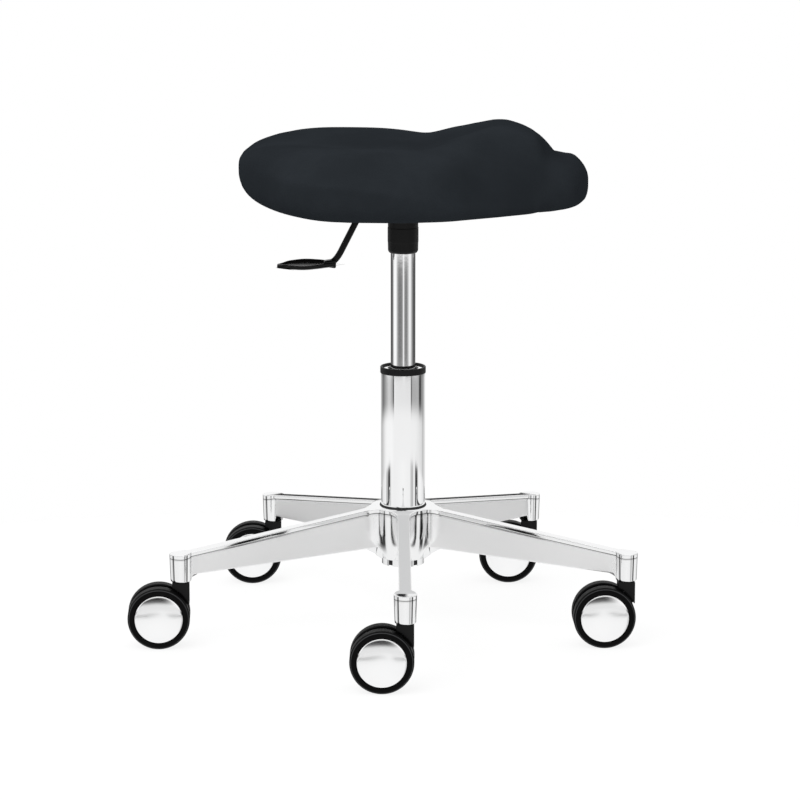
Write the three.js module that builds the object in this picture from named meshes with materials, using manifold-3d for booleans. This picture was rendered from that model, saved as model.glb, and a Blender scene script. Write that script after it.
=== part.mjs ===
// A height-adjustable saddle stool: five-arm base on twin-wheel casters, telescopic column,
// release lever and an upholstered saddle seat. Millimetres, +Z up. X runs along the seat from
// its broad rear (-X) to its pommel (+X). The origin is on the floor, at the middle of the box
// that holds the whole stool.
import * as THREE from 'three';
import { mergeVertices } from 'three/addons/utils/BufferGeometryUtils.js';
import Module from 'manifold-3d';

const wasm = await Module();
wasm.setup();

// Shared clearances
const fit = 0.3; // between pieces that touch
const overrun = 1; // how far a cutting tool runs past the face that it cuts

// Facets of the round pieces
const wheelSides = 24;
const columnSides = 24;
const smallSides = 12;
const cornerSteps = 5; // along each rounded corner of a flat outline
const seatSides = 48;
const seatTopSteps = 13;
const seatBottomSteps = 7;

// Casters
const armCount = 5;
const casterNames = ['front', 'right', 'rear_right', 'rear_left', 'left'];
const casterHeadings = [-1, 1, -3, 0, 2]; // degrees that each caster has swivelled
const wheel = { radius: 34.7, width: 16, spacing: 8, shoulder: 2, recessRadius: 27.2, recessDepth: 3 };
const cap = { radius: 26.8, rimRise: 0.5, shoulderRadius: 20, shoulderRise: 2.6, dome: 3.6 };
const axle = { radius: 4, seat: 9 };
const housing = { trail: 24.9, headroom: 4.6, discRadius: 31, running: 0.4, back: 9.4, front: 9.8 };
const boss = { width: 17, depth: 25, wheelGap: 1.4 };
const stem = { radius: 5.5, engaged: 26, sunk: 12 };
const gripRing = { grooveRadius: 4.2, width: 3, fromTop: 8, slack: 0.15, slot: 3.4 };

// Base casting
const base = { stemCircle: 261.4 };
const armSocket = { topRadius: 12.6, bottomRadius: 11, height: 31.4, chamfer: 1.4, boreSlack: 0.45 };
const arm = { width: 13.4, webWidth: 10.8, flange: 4.4, hubRise: 36.8, tipDepth: 26, rootDepth: 47 };
const pocket = { width: 5, roof: 9, fromSocket: 4, fromHub: 8 };
const flare = { reach: 30, halfWidth: 21 };
const hub = { topRadius: 36, waistRadius: 33, waistDrop: 33, tuckDrop: 52, bottomRadius: 25, height: 61 };
const collar = { radius: 24, depth: 6.8, notch: 5, notchDepth: 2.4 };

// Column
const tube = { radius: 25, wall: 1.6, footRadius: 22.6, footWall: 3, footRise: 3, visible: 156 };
const ring = { radius: 25.7, height: 4, seam: 1.6, lip: 2.2, lipRise: 1.4, slack: 1.2 };
const bush = { length: 78 };
const stroke = 125; // how far the seat can go down from here
const strokeSpare = 4.4;
const cylinder = { radius: 14, wall: 1.8, plug: 8, neckRadius: 13.2, neckLength: 37, cavitySpare: 12 };
const rod = { radius: 5, pinRadius: 4, tail: 6, pistonHeight: 10, pistonSlack: 0.4 };
const bearing = { radius: 12, height: 6 };
const buffer = { radius: 11, height: 10 };
const clip = { radius: 7.5, thickness: 1.6, grooveRadius: 3, slot: 4 };

// Seat fixing
const seatSocket = { radius: 17.3, mouthRadius: 15.6, height: 38, rounding: 2.6, neckWall: 1.4 };
const socketRim = { radius: 18.7, height: 2.4, flare: 3.4 };
const channel = { length: 62, offset: -6, depth: 19.4, wall: 2.5, cheekSpacing: 31.4 };
const plate = { length: 168, width: 128, thickness: 3, corner: 14 };
const screw = { radius: 3, headRadius: 5.6, headHeight: 3, length: 11, inset: 14 };
const pin = { radius: 3, exposed: 5.7, sunk: 30, travel: 4.2 };

// Lever, seen from the side: places are behind the column, drops are under the pivot.
// Each corner is where two straight stretches of the rod would meet.
const lever = { radius: 3.6, beyondPin: 5, pivotBack: 24, pivotRadius: 2.5, halfSides: 5, steps: 16 };
const upperBend = { startBack: 38, cornerBack: 46.5, endBack: 50.5, endDrop: 7.9 };
const lowerBend = { startBack: 69, startDrop: 44.4, cornerBack: 76.3, endBack: 84, drop: 58.8 };
const paddle = { length: 64, width: 31, thickness: 3, rootWidth: 12, tipWidth: 3, rootBack: 76 };
const paddleTurn = { droop: 5, tilt: 7 }; // degrees
const knuckle = { radius: 5.7, back: 75, length: 14 };

// Seat
const shell = { thickness: 9, recess: 8, planShare: 0.8 };
const seat = { rear: 184.5, front: 206.5, halfWidth: 185, thickness: 71, pommelRise: 21 };
// How squarely the top and the bottom turn into the side
const seatEdge = { topPower: 5.7, bottomPower: 4.26 };

// Plan outline of the seat: places along it from the rear (0) to the front (1), with the half width there.
const outlineAlongShares = [0.04, 0.157, 0.346, 0.55, 0.728, 0.876, 0.967];
const outlineWidthShares = [0.383, 0.848, 1, 0.916, 0.654, 0.408, 0.312];
// Heights along the seat. The crest is the line where the sitting hollow ends and the flank starts
// to fall, and the edge is the line round the seat where its side stands upright. Rises of the top
// are over the rim in shares of the pommel's rise over it. Falls are under the rim, and rises of
// the bottom over the lowest board face, in shares of the seat's thickness.
const alongShares = [0, 0.14, 0.346, 0.524, 0.626, 0.758, 0.845, 0.902, 0.944, 1];
const centreRiseShares = [-0.55, -0.64, -0.98, -0.71, -0.05, 1, 0.76, -0.6, -0.43, -0.85];
const crestRiseShares = [0.26, 0.13, 0.06, -0.12, 0.48, 1.04, 0.72, -0.63, -0.47, -1.08];
const crestWidthShares = [0.32, 0.64, 0.79, 0.79, 0.54, 0.26, 0.23, 0.24, 0.26, 0.28];
const flankFallShares = [0.21, 0.24, 0.27, 0.35, 0.61, 0.78, 0.74, 0.52, 0.41, 0.38];
const edgeFallShares = [0.28, 0.49, 0.53, 0.69, 0.78, 0.85, 0.84, 0.7, 0.7, 0.57];
const bottomAlongShares = [0, 0.472, 0.728, 1];
const bottomRiseShares = [-0.022, 0.013, 0.055, -0.04];

// Heights, worked up from the floor
const axleHeight = wheel.radius * Math.cos(Math.PI / wheelSides);
const casterTop = axleHeight + wheel.radius + housing.headroom;
const armSocketBottom = casterTop + fit;
const armSocketTop = armSocketBottom + armSocket.height;
const hubTop = armSocketTop + arm.hubRise;
const hubBottom = hubTop - hub.height;
const collarBottom = hubBottom - collar.depth;
const tubeBottom = hubBottom + tube.footRise;
const tubeTop = hubTop + tube.visible;
const ringTop = tubeTop + ring.height;
const neckBottom = ringTop + strokeSpare + stroke;
const neckTop = neckBottom + cylinder.neckLength;
const pinTop = neckTop + pin.exposed;
const leverHeight = pinTop + fit + lever.radius;
const seatSocketTop = neckBottom + seatSocket.height;
const channelBottom = seatSocketTop + fit;
const plateBottom = channelBottom + channel.depth;
const shellBottom = plateBottom + plate.thickness + fit;
const cushionBottom = shellBottom - shell.recess;
const rimHeight = cushionBottom + seat.thickness;
const seatLength = seat.rear + seat.front;

// Materials
const look = (color, roughness, metalness) => new THREE.MeshStandardMaterial({ color, roughness, metalness });
const polished = look(0xd9dadb, 0.12, 1);
const chrome = look(0xe2e3e5, 0.06, 1);
const steel = look(0xa9abad, 0.35, 1);
const blackPlastic = look(0x1c1d1f, 0.5, 0);
const blackRubber = look(0x18191a, 0.75, 0);
const blackSteel = look(0x1f2022, 0.45, 0.4);
const cover = look(0x23272c, 0.48, 0);
const board = look(0x2a2b2c, 0.8, 0);

// Shapes

// A closed solid turned about Z. The profile lists [radius, height] counter-clockwise. It starts
// and ends on the axis, or closes on itself.
function turned(profile, sides, phase = 0) {
  const points = profile.map(([radius, height]) => new THREE.Vector2(radius, height));
  if (profile[0][0] !== 0) points.push(points[0].clone());
  return new THREE.LatheGeometry(points, sides, phase).rotateX(Math.PI / 2);
}

function tubeProfile(inner, outer, bottom, top) {
  return [[inner, bottom], [outer, bottom], [outer, top], [inner, top]];
}

function rodProfile(radius, bottom, top) {
  return [[0, bottom], [radius, bottom], [radius, top], [0, top]];
}

// A flat outline in the X-Z plane, thickened evenly to both sides of Y = 0.
function slab(outline, width) {
  const shape = new THREE.Shape(outline.map(([x, z]) => new THREE.Vector2(x, z)));
  const geometry = new THREE.ExtrudeGeometry(shape, { depth: width, bevelEnabled: false });
  return geometry.translate(0, 0, -width / 2).rotateX(Math.PI / 2);
}

// An upright prism over an outline in the X-Y plane.
function prism(shape, bottom, top) {
  const options = { depth: top - bottom, bevelEnabled: false, curveSegments: cornerSteps };
  return new THREE.ExtrudeGeometry(shape, options).translate(0, 0, bottom);
}

function block([x0, x1], [y0, y1], [z0, z1]) {
  const geometry = new THREE.BoxGeometry(x1 - x0, y1 - y0, z1 - z0);
  return geometry.translate((x0 + x1) / 2, (y0 + y1) / 2, (z0 + z1) / 2);
}

function roundedRectangle(length, width, corner) {
  const [x, y] = [length / 2 - corner, width / 2 - corner];
  const shape = new THREE.Shape();
  shape.absarc(x, y, corner, 0, Math.PI / 2);
  shape.absarc(-x, y, corner, Math.PI / 2, Math.PI);
  shape.absarc(-x, -y, corner, Math.PI, 1.5 * Math.PI);
  shape.absarc(x, -y, corner, 1.5 * Math.PI, 2 * Math.PI);
  return shape;
}

// Joining and cutting

function toSolid(geometry) {
  const bare = geometry.clone();
  bare.deleteAttribute('normal');
  bare.deleteAttribute('uv');
  const merged = mergeVertices(bare);
  const index = merged.getIndex().array;
  const triangles = [];
  for (let i = 0; i < index.length; i += 3) {
    const [a, b, c] = [index[i], index[i + 1], index[i + 2]];
    if (a !== b && b !== c && c !== a) triangles.push(a, b, c);
  }
  const mesh = new wasm.Mesh({
    numProp: 3,
    vertProperties: new Float32Array(merged.getAttribute('position').array),
    triVerts: new Uint32Array(triangles),
  });
  return new wasm.Manifold(mesh);
}

function toGeometry(solid) {
  const mesh = solid.getMesh();
  const geometry = new THREE.BufferGeometry();
  geometry.setAttribute('position', new THREE.BufferAttribute(new Float32Array(mesh.vertProperties), 3));
  geometry.setIndex(new THREE.BufferAttribute(new Uint32Array(mesh.triVerts), 1));
  geometry.computeVertexNormals();
  return geometry;
}

function cutFrom(solid, cutters) {
  return toGeometry(cutters.reduce((rest, cutter) => rest.subtract(toSolid(cutter)), solid));
}

function join(geometries) {
  const [first, ...others] = geometries.map(toSolid);
  return others.reduce((sum, next) => sum.add(next), first);
}

// An open ring that snaps round a rod, with its slot towards +X.
function openRing(inner, outer, bottom, top, slot) {
  const whole = toSolid(turned(tubeProfile(inner, outer, bottom, top), smallSides));
  const gap = block([0, outer + overrun], [-slot / 2, slot / 2], [bottom - overrun, top + overrun]);
  return cutFrom(whole, [gap]);
}

// The whole stool and the way to add a piece to it
const stool = new THREE.Group();

function place(parent, name, geometry, material) {
  const mesh = new THREE.Mesh(geometry, material);
  mesh.name = name;
  parent.add(mesh);
}

// Base casting

const armAngle = (index) => -Math.PI / 2 + (2 * Math.PI * index) / armCount;
const armRoot = tube.radius + overrun;
const armTip = base.stemCircle - armSocket.topRadius;
const armFall = arm.hubRise / (base.stemCircle - armRoot);
const armTopAt = (distance) => hubTop - armFall * (distance - armRoot);

// Side view of an arm, as [distance from the column's axis, height].
function armOutline() {
  const tipBottom = armTopAt(armTip) - arm.tipDepth;
  return [
    [armRoot, hubTop - arm.rootDepth],
    [hub.topRadius, hubTop - arm.rootDepth],
    [armTip, tipBottom],
    [base.stemCircle, tipBottom],
    [base.stemCircle, armTopAt(base.stemCircle)],
    [armRoot, armTopAt(armRoot)],
  ];
}

// The arm's wider upper edge, a strip of even depth.
function flangeOutline() {
  return [
    [armRoot, armTopAt(armRoot) - arm.flange],
    [base.stemCircle, armTopAt(base.stemCircle) - arm.flange],
    [base.stemCircle, armTopAt(base.stemCircle)],
    [armRoot, armTopAt(armRoot)],
  ];
}

// The hollow under an arm.
function pocketOutline() {
  const near = hub.topRadius + pocket.fromHub;
  const far = armTip - pocket.fromSocket;
  return [
    [near, collarBottom],
    [far, collarBottom],
    [far, armTopAt(far) - pocket.roof],
    [near, armTopAt(near) - pocket.roof],
  ];
}

// Plan of an arm's root, which widens in a hollow curve until it meets the hub.
function flarePlan() {
  const start = hub.topRadius - arm.webWidth;
  const end = hub.topRadius + flare.reach;
  const half = arm.webWidth / 2;
  const shape = new THREE.Shape();
  shape.moveTo(start, -flare.halfWidth);
  shape.quadraticCurveTo(hub.topRadius, -half, end, -half);
  shape.lineTo(end, half);
  shape.quadraticCurveTo(hub.topRadius, half, start, flare.halfWidth);
  return shape;
}

function armSocketProfile() {
  return [
    [0, armSocketBottom],
    [armSocket.bottomRadius, armSocketBottom],
    [armSocket.topRadius, armSocketTop - armSocket.chamfer],
    [armSocket.topRadius - armSocket.chamfer, armSocketTop],
    [0, armSocketTop],
  ];
}

function hubProfile() {
  return [
    [0, collarBottom],
    [collar.radius, collarBottom],
    [collar.radius, hubBottom],
    [hub.bottomRadius, hubBottom],
    [(hub.waistRadius + hub.bottomRadius) / 2, hubTop - hub.tuckDrop],
    [hub.waistRadius, hubTop - hub.waistDrop],
    [hub.topRadius, hubTop],
    [0, hubTop],
  ];
}

// The tapered seat of the column tube, right through the hub.
function hubBore() {
  const taper = (tube.radius - tube.footRadius) / (hubTop - tubeBottom);
  const radiusAt = (height) => tube.radius + fit - (hubTop - height) * taper;
  const [low, high] = [collarBottom - overrun, hubTop + overrun];
  return turned([[0, low], [radiusAt(low), low], [radiusAt(high), high], [0, high]], columnSides);
}

function buildCasting() {
  const bodies = [turned(hubProfile(), columnSides)];
  const cutters = [hubBore()];
  const wideArm = toSolid(slab(armOutline(), 2 * flare.halfWidth + overrun));
  const root = toGeometry(toSolid(prism(flarePlan(), collarBottom, hubTop + overrun)).intersect(wideArm));
  const boreTop = armSocketBottom + stem.engaged + fit;
  // The bore's flats, not its corners, keep its size, so that the stem and its ring can turn in it.
  const boreRadius = (stem.radius + armSocket.boreSlack) / Math.cos(Math.PI / smallSides);
  const boreProfile = rodProfile(boreRadius, armSocketBottom - overrun, boreTop);
  const notch = block(
    [collar.radius - collar.notchDepth, collar.radius + overrun],
    [-collar.notch / 2, collar.notch / 2],
    [collarBottom - overrun, hubBottom],
  );
  for (let i = 0; i < armCount; i += 1) {
    const angle = armAngle(i);
    bodies.push(slab(armOutline(), arm.webWidth).rotateZ(angle));
    bodies.push(slab(flangeOutline(), arm.width).rotateZ(angle));
    bodies.push(root.clone().rotateZ(angle));
    bodies.push(turned(armSocketProfile(), columnSides).translate(base.stemCircle, 0, 0).rotateZ(angle));
    cutters.push(slab(pocketOutline(), pocket.width).rotateZ(angle));
    cutters.push(turned(boreProfile, smallSides).translate(base.stemCircle, 0, 0).rotateZ(angle));
    cutters.push(notch.clone().rotateZ(angle + Math.PI / armCount));
  }
  return cutFrom(join(bodies), cutters);
}

place(stool, 'base_casting', buildCasting(), polished);

// Column tube with its ring and guide bush

const tubeInner = tube.radius - tube.wall;
const rodHole = rod.pinRadius + fit;
const tubeFloor = tubeBottom + tube.footWall;
const ringBore = cylinder.radius + ring.slack;

place(stool, 'column_tube', turned([
  [rodHole, tubeBottom],
  [tube.footRadius, tubeBottom],
  [tube.radius, hubTop],
  [tube.radius, tubeTop],
  [tubeInner, tubeTop],
  [tubeInner, hubTop],
  [tube.footRadius - tube.wall, tubeFloor],
  [rodHole, tubeFloor],
], columnSides), polished);

place(stool, 'column_ring', turned([
  [tube.radius + fit, tubeTop - ring.seam],
  [ring.radius, tubeTop - ring.seam],
  [ring.radius, ringTop],
  [ring.radius - ring.lip, ringTop],
  [ring.radius - ring.lip, ringTop - ring.lipRise],
  [ringBore, ringTop - ring.lipRise],
  [ringBore, tubeTop + fit],
  [tube.radius + fit, tubeTop + fit],
], columnSides), blackPlastic);

place(stool, 'guide_bush', turned(
  tubeProfile(cylinder.radius + fit, tubeInner - fit, tubeTop - bush.length, tubeTop), columnSides,
), blackPlastic);

// Piston rod, standing on a bearing and a buffer and held by a clip under the tube

const bearingBottom = tubeFloor + fit;
const bufferBottom = bearingBottom + bearing.height + fit;
const bufferTop = bufferBottom + buffer.height;
const rodShoulder = bufferTop + fit;
const cylinderBottom = bufferTop + strokeSpare + stroke;
const cylinderInner = cylinder.radius - cylinder.wall;
const cavityBottom = cylinderBottom + cylinder.plug;
const pistonBottom = cavityBottom + fit;
const pistonTop = pistonBottom + rod.pistonHeight;
const pistonRadius = cylinderInner - rod.pistonSlack;
const grooveTop = tubeBottom;
const grooveBottom = grooveTop - clip.thickness - 2 * fit;

place(stool, 'thrust_bearing', turned(
  tubeProfile(rodHole, bearing.radius, bearingBottom, bearingBottom + bearing.height), smallSides,
), steel);

place(stool, 'rubber_buffer', turned(
  tubeProfile(rodHole, buffer.radius, bufferBottom, bufferTop), smallSides,
), blackRubber);

place(stool, 'piston_rod', turned([
  [0, tubeBottom - rod.tail],
  [rod.pinRadius, tubeBottom - rod.tail],
  [rod.pinRadius, grooveBottom],
  [clip.grooveRadius, grooveBottom],
  [clip.grooveRadius, grooveTop],
  [rod.pinRadius, grooveTop],
  [rod.pinRadius, rodShoulder],
  [rod.radius, rodShoulder],
  [rod.radius, pistonBottom],
  [pistonRadius, pistonBottom],
  [pistonRadius, pistonTop],
  [0, pistonTop],
], smallSides), steel);

place(stool, 'retaining_clip', openRing(
  clip.grooveRadius + fit, clip.radius, grooveBottom + fit, grooveBottom + fit + clip.thickness, clip.slot,
), steel);

// Gas cylinder, hollow round the rod, with a bore for the release pin in its neck

const cavityTop = pistonTop + stroke + cylinder.cavitySpare;
const pinBottom = neckTop - pin.sunk;

place(stool, 'gas_cylinder', turned([
  [0, cavityTop],
  [cylinderInner, cavityTop],
  [cylinderInner, cavityBottom],
  [rod.radius + fit, cavityBottom],
  [rod.radius + fit, cylinderBottom],
  [cylinder.radius, cylinderBottom],
  [cylinder.radius, neckBottom],
  [cylinder.neckRadius, neckTop],
  [pin.radius + fit, neckTop],
  [pin.radius + fit, pinBottom - pin.travel],
  [0, pinBottom - pin.travel],
], columnSides), chrome);

place(stool, 'release_pin', turned(rodProfile(pin.radius, pinBottom, pinTop), smallSides), steel);

// Seat socket, the tapered cap under the seat

const neckHole = cylinder.neckRadius + fit;
const socketNeckRadius = neckHole + seatSocket.neckWall;
const channelFloor = channelBottom + channel.wall;

place(stool, 'seat_socket', turned([
  [cylinder.radius + fit, neckBottom],
  [seatSocket.mouthRadius, neckBottom],
  [seatSocket.radius, neckBottom + seatSocket.rounding],
  [seatSocket.radius, seatSocketTop - socketRim.height - socketRim.flare],
  [socketRim.radius, seatSocketTop - socketRim.height],
  [socketRim.radius, seatSocketTop],
  [socketNeckRadius, seatSocketTop],
  [socketNeckRadius, channelFloor],
  [neckHole, channelFloor],
  [neckHole, neckTop],
], columnSides), blackPlastic);

// Seat plate with the channel that carries the socket and the lever's pivot

const cheekInner = channel.cheekSpacing / 2;
const cheekOuter = cheekInner + channel.wall;
const channelEnds = [channel.offset - channel.length / 2, channel.offset + channel.length / 2];
const screwPlaces = [[1, 1], [-1, 1], [-1, -1], [1, -1]].map(([alongX, alongY]) => [
  alongX * (plate.length / 2 - screw.inset), alongY * (plate.width / 2 - screw.inset),
]);

// A round bar along Y at the lever's pivot.
function pivotBar(radius, length) {
  const bar = new THREE.CylinderGeometry(radius, radius, length, smallSides);
  return bar.translate(-lever.pivotBack, 0, leverHeight);
}

function buildPlate() {
  const plateTop = plateBottom + plate.thickness;
  const walls = [channelBottom, plateBottom + plate.thickness / 2];
  const bodies = [
    prism(roundedRectangle(plate.length, plate.width, plate.corner), plateBottom, plateTop),
    block(channelEnds, [cheekInner, cheekOuter], walls),
    block(channelEnds, [-cheekOuter, -cheekInner], walls),
    block(channelEnds, [-cheekOuter, cheekOuter], [channelBottom, channelFloor]),
  ];
  const holeSpan = [channelBottom - overrun, plateTop + overrun];
  const hole = (radius) => turned(rodProfile(radius, ...holeSpan), smallSides);
  const neckCut = rodProfile(socketNeckRadius + fit, channelBottom - overrun, channelFloor + overrun);
  const cutters = [
    turned(neckCut, columnSides),
    pivotBar(lever.pivotRadius + fit, 2 * (cheekOuter + overrun)),
    ...screwPlaces.map(([x, y]) => hole(screw.radius + fit).translate(x, y, 0)),
  ];
  return cutFrom(join(bodies), cutters);
}

place(stool, 'seat_plate', buildPlate(), blackSteel);

const screwHeadTop = plateBottom - fit;
screwPlaces.forEach(([x, y], index) => {
  const screwTurned = turned([
    [0, screwHeadTop - screw.headHeight],
    [screw.headRadius, screwHeadTop - screw.headHeight],
    [screw.headRadius, screwHeadTop],
    [screw.radius, screwHeadTop],
    [screw.radius, screwHeadTop + screw.length],
    [0, screwHeadTop + screw.length],
  ], smallSides);
  place(stool, `seat_screw_${index + 1}`, screwTurned.translate(x, y, 0), steel);
});

// Lever

const leverPoint = (back, drop) => new THREE.Vector3(-back, 0, leverHeight - drop);

function leverPath() {
  const path = new THREE.CurvePath();
  const start = leverPoint(-lever.beyondPin, 0);
  const upperStart = leverPoint(upperBend.startBack, 0);
  const upperEnd = leverPoint(upperBend.endBack, upperBend.endDrop);
  const lowerStart = leverPoint(lowerBend.startBack, lowerBend.startDrop);
  const lowerEnd = leverPoint(lowerBend.endBack, lowerBend.drop);
  const upperCorner = leverPoint(upperBend.cornerBack, 0);
  const lowerCorner = leverPoint(lowerBend.cornerBack, lowerBend.drop);
  path.add(new THREE.LineCurve3(start, upperStart));
  path.add(new THREE.QuadraticBezierCurve3(upperStart, upperCorner, upperEnd));
  path.add(new THREE.LineCurve3(upperEnd, lowerStart));
  path.add(new THREE.QuadraticBezierCurve3(lowerStart, lowerCorner, lowerEnd));
  return path;
}

function leverTube(radius) {
  const section = new THREE.Shape();
  section.absarc(0, 0, radius, 0, 2 * Math.PI);
  const options = {
    steps: lever.steps,
    extrudePath: leverPath(),
    curveSegments: lever.halfSides,
    bevelEnabled: false,
  };
  return new THREE.ExtrudeGeometry(section, options);
}

// Plan of the paddle's leaf, from its root at the knuckle to its narrow tip.
function leafPlan() {
  const [root, half, tip] = [paddle.rootWidth / 2, paddle.width / 2, paddle.tipWidth / 2];
  const belly = paddle.length / 2;
  const shape = new THREE.Shape();
  shape.moveTo(0, root);
  shape.quadraticCurveTo(-belly / 2, half, -belly, half);
  shape.quadraticCurveTo(-paddle.length + belly / 2, half, -paddle.length, tip);
  shape.lineTo(-paddle.length, -tip);
  shape.quadraticCurveTo(-paddle.length + belly / 2, -half, -belly, -half);
  shape.quadraticCurveTo(-belly / 2, -half, 0, -root);
  return shape;
}

function buildPaddle() {
  const leaf = prism(leafPlan(), -paddle.thickness / 2, paddle.thickness / 2);
  leaf.rotateX(THREE.MathUtils.degToRad(paddleTurn.tilt));
  leaf.rotateY(-THREE.MathUtils.degToRad(paddleTurn.droop));
  const knuckleBar = new THREE.CylinderGeometry(knuckle.radius, knuckle.radius, knuckle.length, smallSides);
  knuckleBar.rotateZ(Math.PI / 2);
  const height = leverHeight - lowerBend.drop;
  leaf.translate(-paddle.rootBack, 0, height);
  knuckleBar.translate(-knuckle.back - knuckle.length / 2, 0, height);
  return cutFrom(join([leaf, knuckleBar]), [leverTube(lever.radius + fit)]);
}

const leverPieces = [leverTube(lever.radius), pivotBar(lever.pivotRadius, 2 * cheekOuter)];
place(stool, 'lever_rod', toGeometry(join(leverPieces)), blackSteel);
place(stool, 'lever_paddle', buildPaddle(), blackPlastic);

// Seat

const seatX = (share) => -seat.rear + share * seatLength;

// A smooth curve through (places, values) that never overshoots them.
function smoothCurve(places, values) {
  const steps = places.slice(1).map((place, i) => place - places[i]);
  const slopes = steps.map((step, i) => (values[i + 1] - values[i]) / step);
  const tangents = values.map((value, i) => {
    if (i === 0) return slopes[0];
    if (i === values.length - 1) return slopes[i - 1];
    const [before, after] = [slopes[i - 1], slopes[i]];
    if (before * after <= 0) return 0;
    const [near, far] = [2 * steps[i] + steps[i - 1], steps[i] + 2 * steps[i - 1]];
    return (near + far) / (near / before + far / after);
  });
  return (place) => {
    const at = Math.min(Math.max(place, places[0]), places[places.length - 1]);
    let i = 0;
    while (i < steps.length - 1 && at > places[i + 1]) i += 1;
    const [h, t] = [steps[i], (at - places[i]) / steps[i]];
    const [t2, t3] = [t * t, t * t * t];
    return values[i] * (2 * t3 - 3 * t2 + 1) + h * tangents[i] * (t3 - 2 * t2 + t)
      + values[i + 1] * (3 * t2 - 2 * t3) + h * tangents[i + 1] * (t3 - t2);
  };
}

// The plan outline as points round the seat, starting at the rear.
function seatOutline(count) {
  const side = outlineAlongShares.map((share, i) => [seatX(share), outlineWidthShares[i] * seat.halfWidth]);
  const points = [
    [-seat.rear, 0],
    ...side.map(([x, y]) => [x, -y]),
    [seat.front, 0],
    ...side.map(([x, y]) => [x, y]).reverse(),
  ].map(([x, y]) => new THREE.Vector3(x, y, 0));
  const curve = new THREE.CatmullRomCurve3(points, true, 'catmullrom', 0.5);
  return Array.from({ length: count }, (unused, i) => curve.getPoint(i / count));
}

const along = alongShares.map(seatX);
const outlineWidth = smoothCurve(
  [-seat.rear, ...outlineAlongShares.map(seatX), seat.front],
  [0, ...outlineWidthShares.map((share) => share * seat.halfWidth), 0],
);
const centreHeight = smoothCurve(along, centreRiseShares.map((share) => rimHeight + share * seat.pommelRise));
const crestHeight = smoothCurve(along, crestRiseShares.map((share) => rimHeight + share * seat.pommelRise));
const crestWidth = smoothCurve(along, crestWidthShares.map((share) => share * seat.halfWidth));
const flankHeight = smoothCurve(along, flankFallShares.map((share) => rimHeight - share * seat.thickness));
const edgeHeight = smoothCurve(along, edgeFallShares.map((share) => rimHeight - share * seat.thickness));
const bottomHeights = bottomRiseShares.map((share) => cushionBottom + share * seat.thickness);
const bottomHeight = smoothCurve(bottomAlongShares.map(seatX), bottomHeights);

// Height of the seat's top before its edge is rounded off.
function topHeight(x, y) {
  const across = Math.abs(y);
  const crest = crestWidth(x);
  if (across <= crest) {
    const t = across / crest;
    return THREE.MathUtils.lerp(centreHeight(x), crestHeight(x), t * t * (3 - 2 * t));
  }
  const outer = Math.max(outlineWidth(x), crest + overrun);
  const t = Math.min((across - crest) / (outer - crest), 1);
  return THREE.MathUtils.lerp(crestHeight(x), flankHeight(x), 1 - Math.cos((t * Math.PI) / 2));
}

// How much of the seat's full height is left at a share of the way out to its edge.
const fullness = (share, power) => (1 - share ** power) ** (1 / power);

// Shares of the way out, closer together towards the edge.
function outwardShares(count) {
  return Array.from({ length: count }, (unused, i) => Math.sin(((i + 1) / (count + 1)) * (Math.PI / 2)));
}

function cushionBody() {
  const outline = seatOutline(seatSides);
  const edge = outline.map(({ x }) => edgeHeight(x));
  const vertices = [0, 0, topHeight(0, 0)];
  outwardShares(seatTopSteps).forEach((share) => outline.forEach(({ x, y }, i) => {
    const rise = (topHeight(x * share, y * share) - edge[i]) * fullness(share, seatEdge.topPower);
    vertices.push(x * share, y * share, edge[i] + rise);
  }));
  outline.forEach(({ x, y }, i) => vertices.push(x, y, edge[i]));
  outwardShares(seatBottomSteps).reverse().forEach((share) => outline.forEach(({ x, y }, i) => {
    const fall = (edge[i] - bottomHeight(x * share)) * fullness(share, seatEdge.bottomPower);
    vertices.push(x * share, y * share, edge[i] - fall);
  }));
  vertices.push(0, 0, bottomHeight(0));
  const ringCount = seatTopSteps + 1 + seatBottomSteps;
  const last = vertices.length / 3 - 1;
  const at = (ringIndex, i) => 1 + ringIndex * seatSides + (i % seatSides);
  const index = [];
  for (let i = 0; i < seatSides; i += 1) {
    index.push(0, at(0, i), at(0, i + 1));
    for (let k = 0; k < ringCount - 1; k += 1) {
      index.push(at(k, i), at(k + 1, i), at(k + 1, i + 1));
      index.push(at(k, i), at(k + 1, i + 1), at(k, i + 1));
    }
    index.push(last, at(ringCount - 1, i + 1), at(ringCount - 1, i));
  }
  const geometry = new THREE.BufferGeometry();
  geometry.setAttribute('position', new THREE.BufferAttribute(new Float32Array(vertices), 3));
  geometry.setIndex(index);
  return toSolid(geometry);
}

// The stiff board's plan: the seat's outline drawn in, and grown evenly where a clearance is wanted.
function shellPlan(grow) {
  const points = seatOutline(seatSides).map((point) => {
    const drawnIn = point.clone().multiplyScalar(shell.planShare);
    const outwards = point.clone().normalize().multiplyScalar(grow);
    return drawnIn.add(outwards);
  });
  return new THREE.Shape(points.map(({ x, y }) => new THREE.Vector2(x, y)));
}

const shellTop = shellBottom + shell.thickness;
const shellCut = prism(shellPlan(2 * fit), Math.min(...bottomHeights) - overrun, shellTop + fit);
place(stool, 'seat_cushion', cutFrom(cushionBody(), [shellCut]), cover);

const screwCutTop = screwHeadTop + screw.length + fit;
const screwCuts = screwPlaces.map(([x, y]) => {
  const profile = rodProfile(screw.radius + fit, shellBottom - overrun, screwCutTop);
  return turned(profile, smallSides).translate(x, y, 0);
});
place(stool, 'seat_shell', cutFrom(toSolid(prism(shellPlan(0), shellBottom, shellTop)), screwCuts), board);

// Casters. Each is built with its stem on the local Z axis and its wheels behind it at -X.

const webHalf = wheel.spacing / 2 - housing.running;
const wheelInner = wheel.spacing / 2;
const wheelOuter = wheelInner + wheel.width;
const axleX = -housing.trail;

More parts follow.
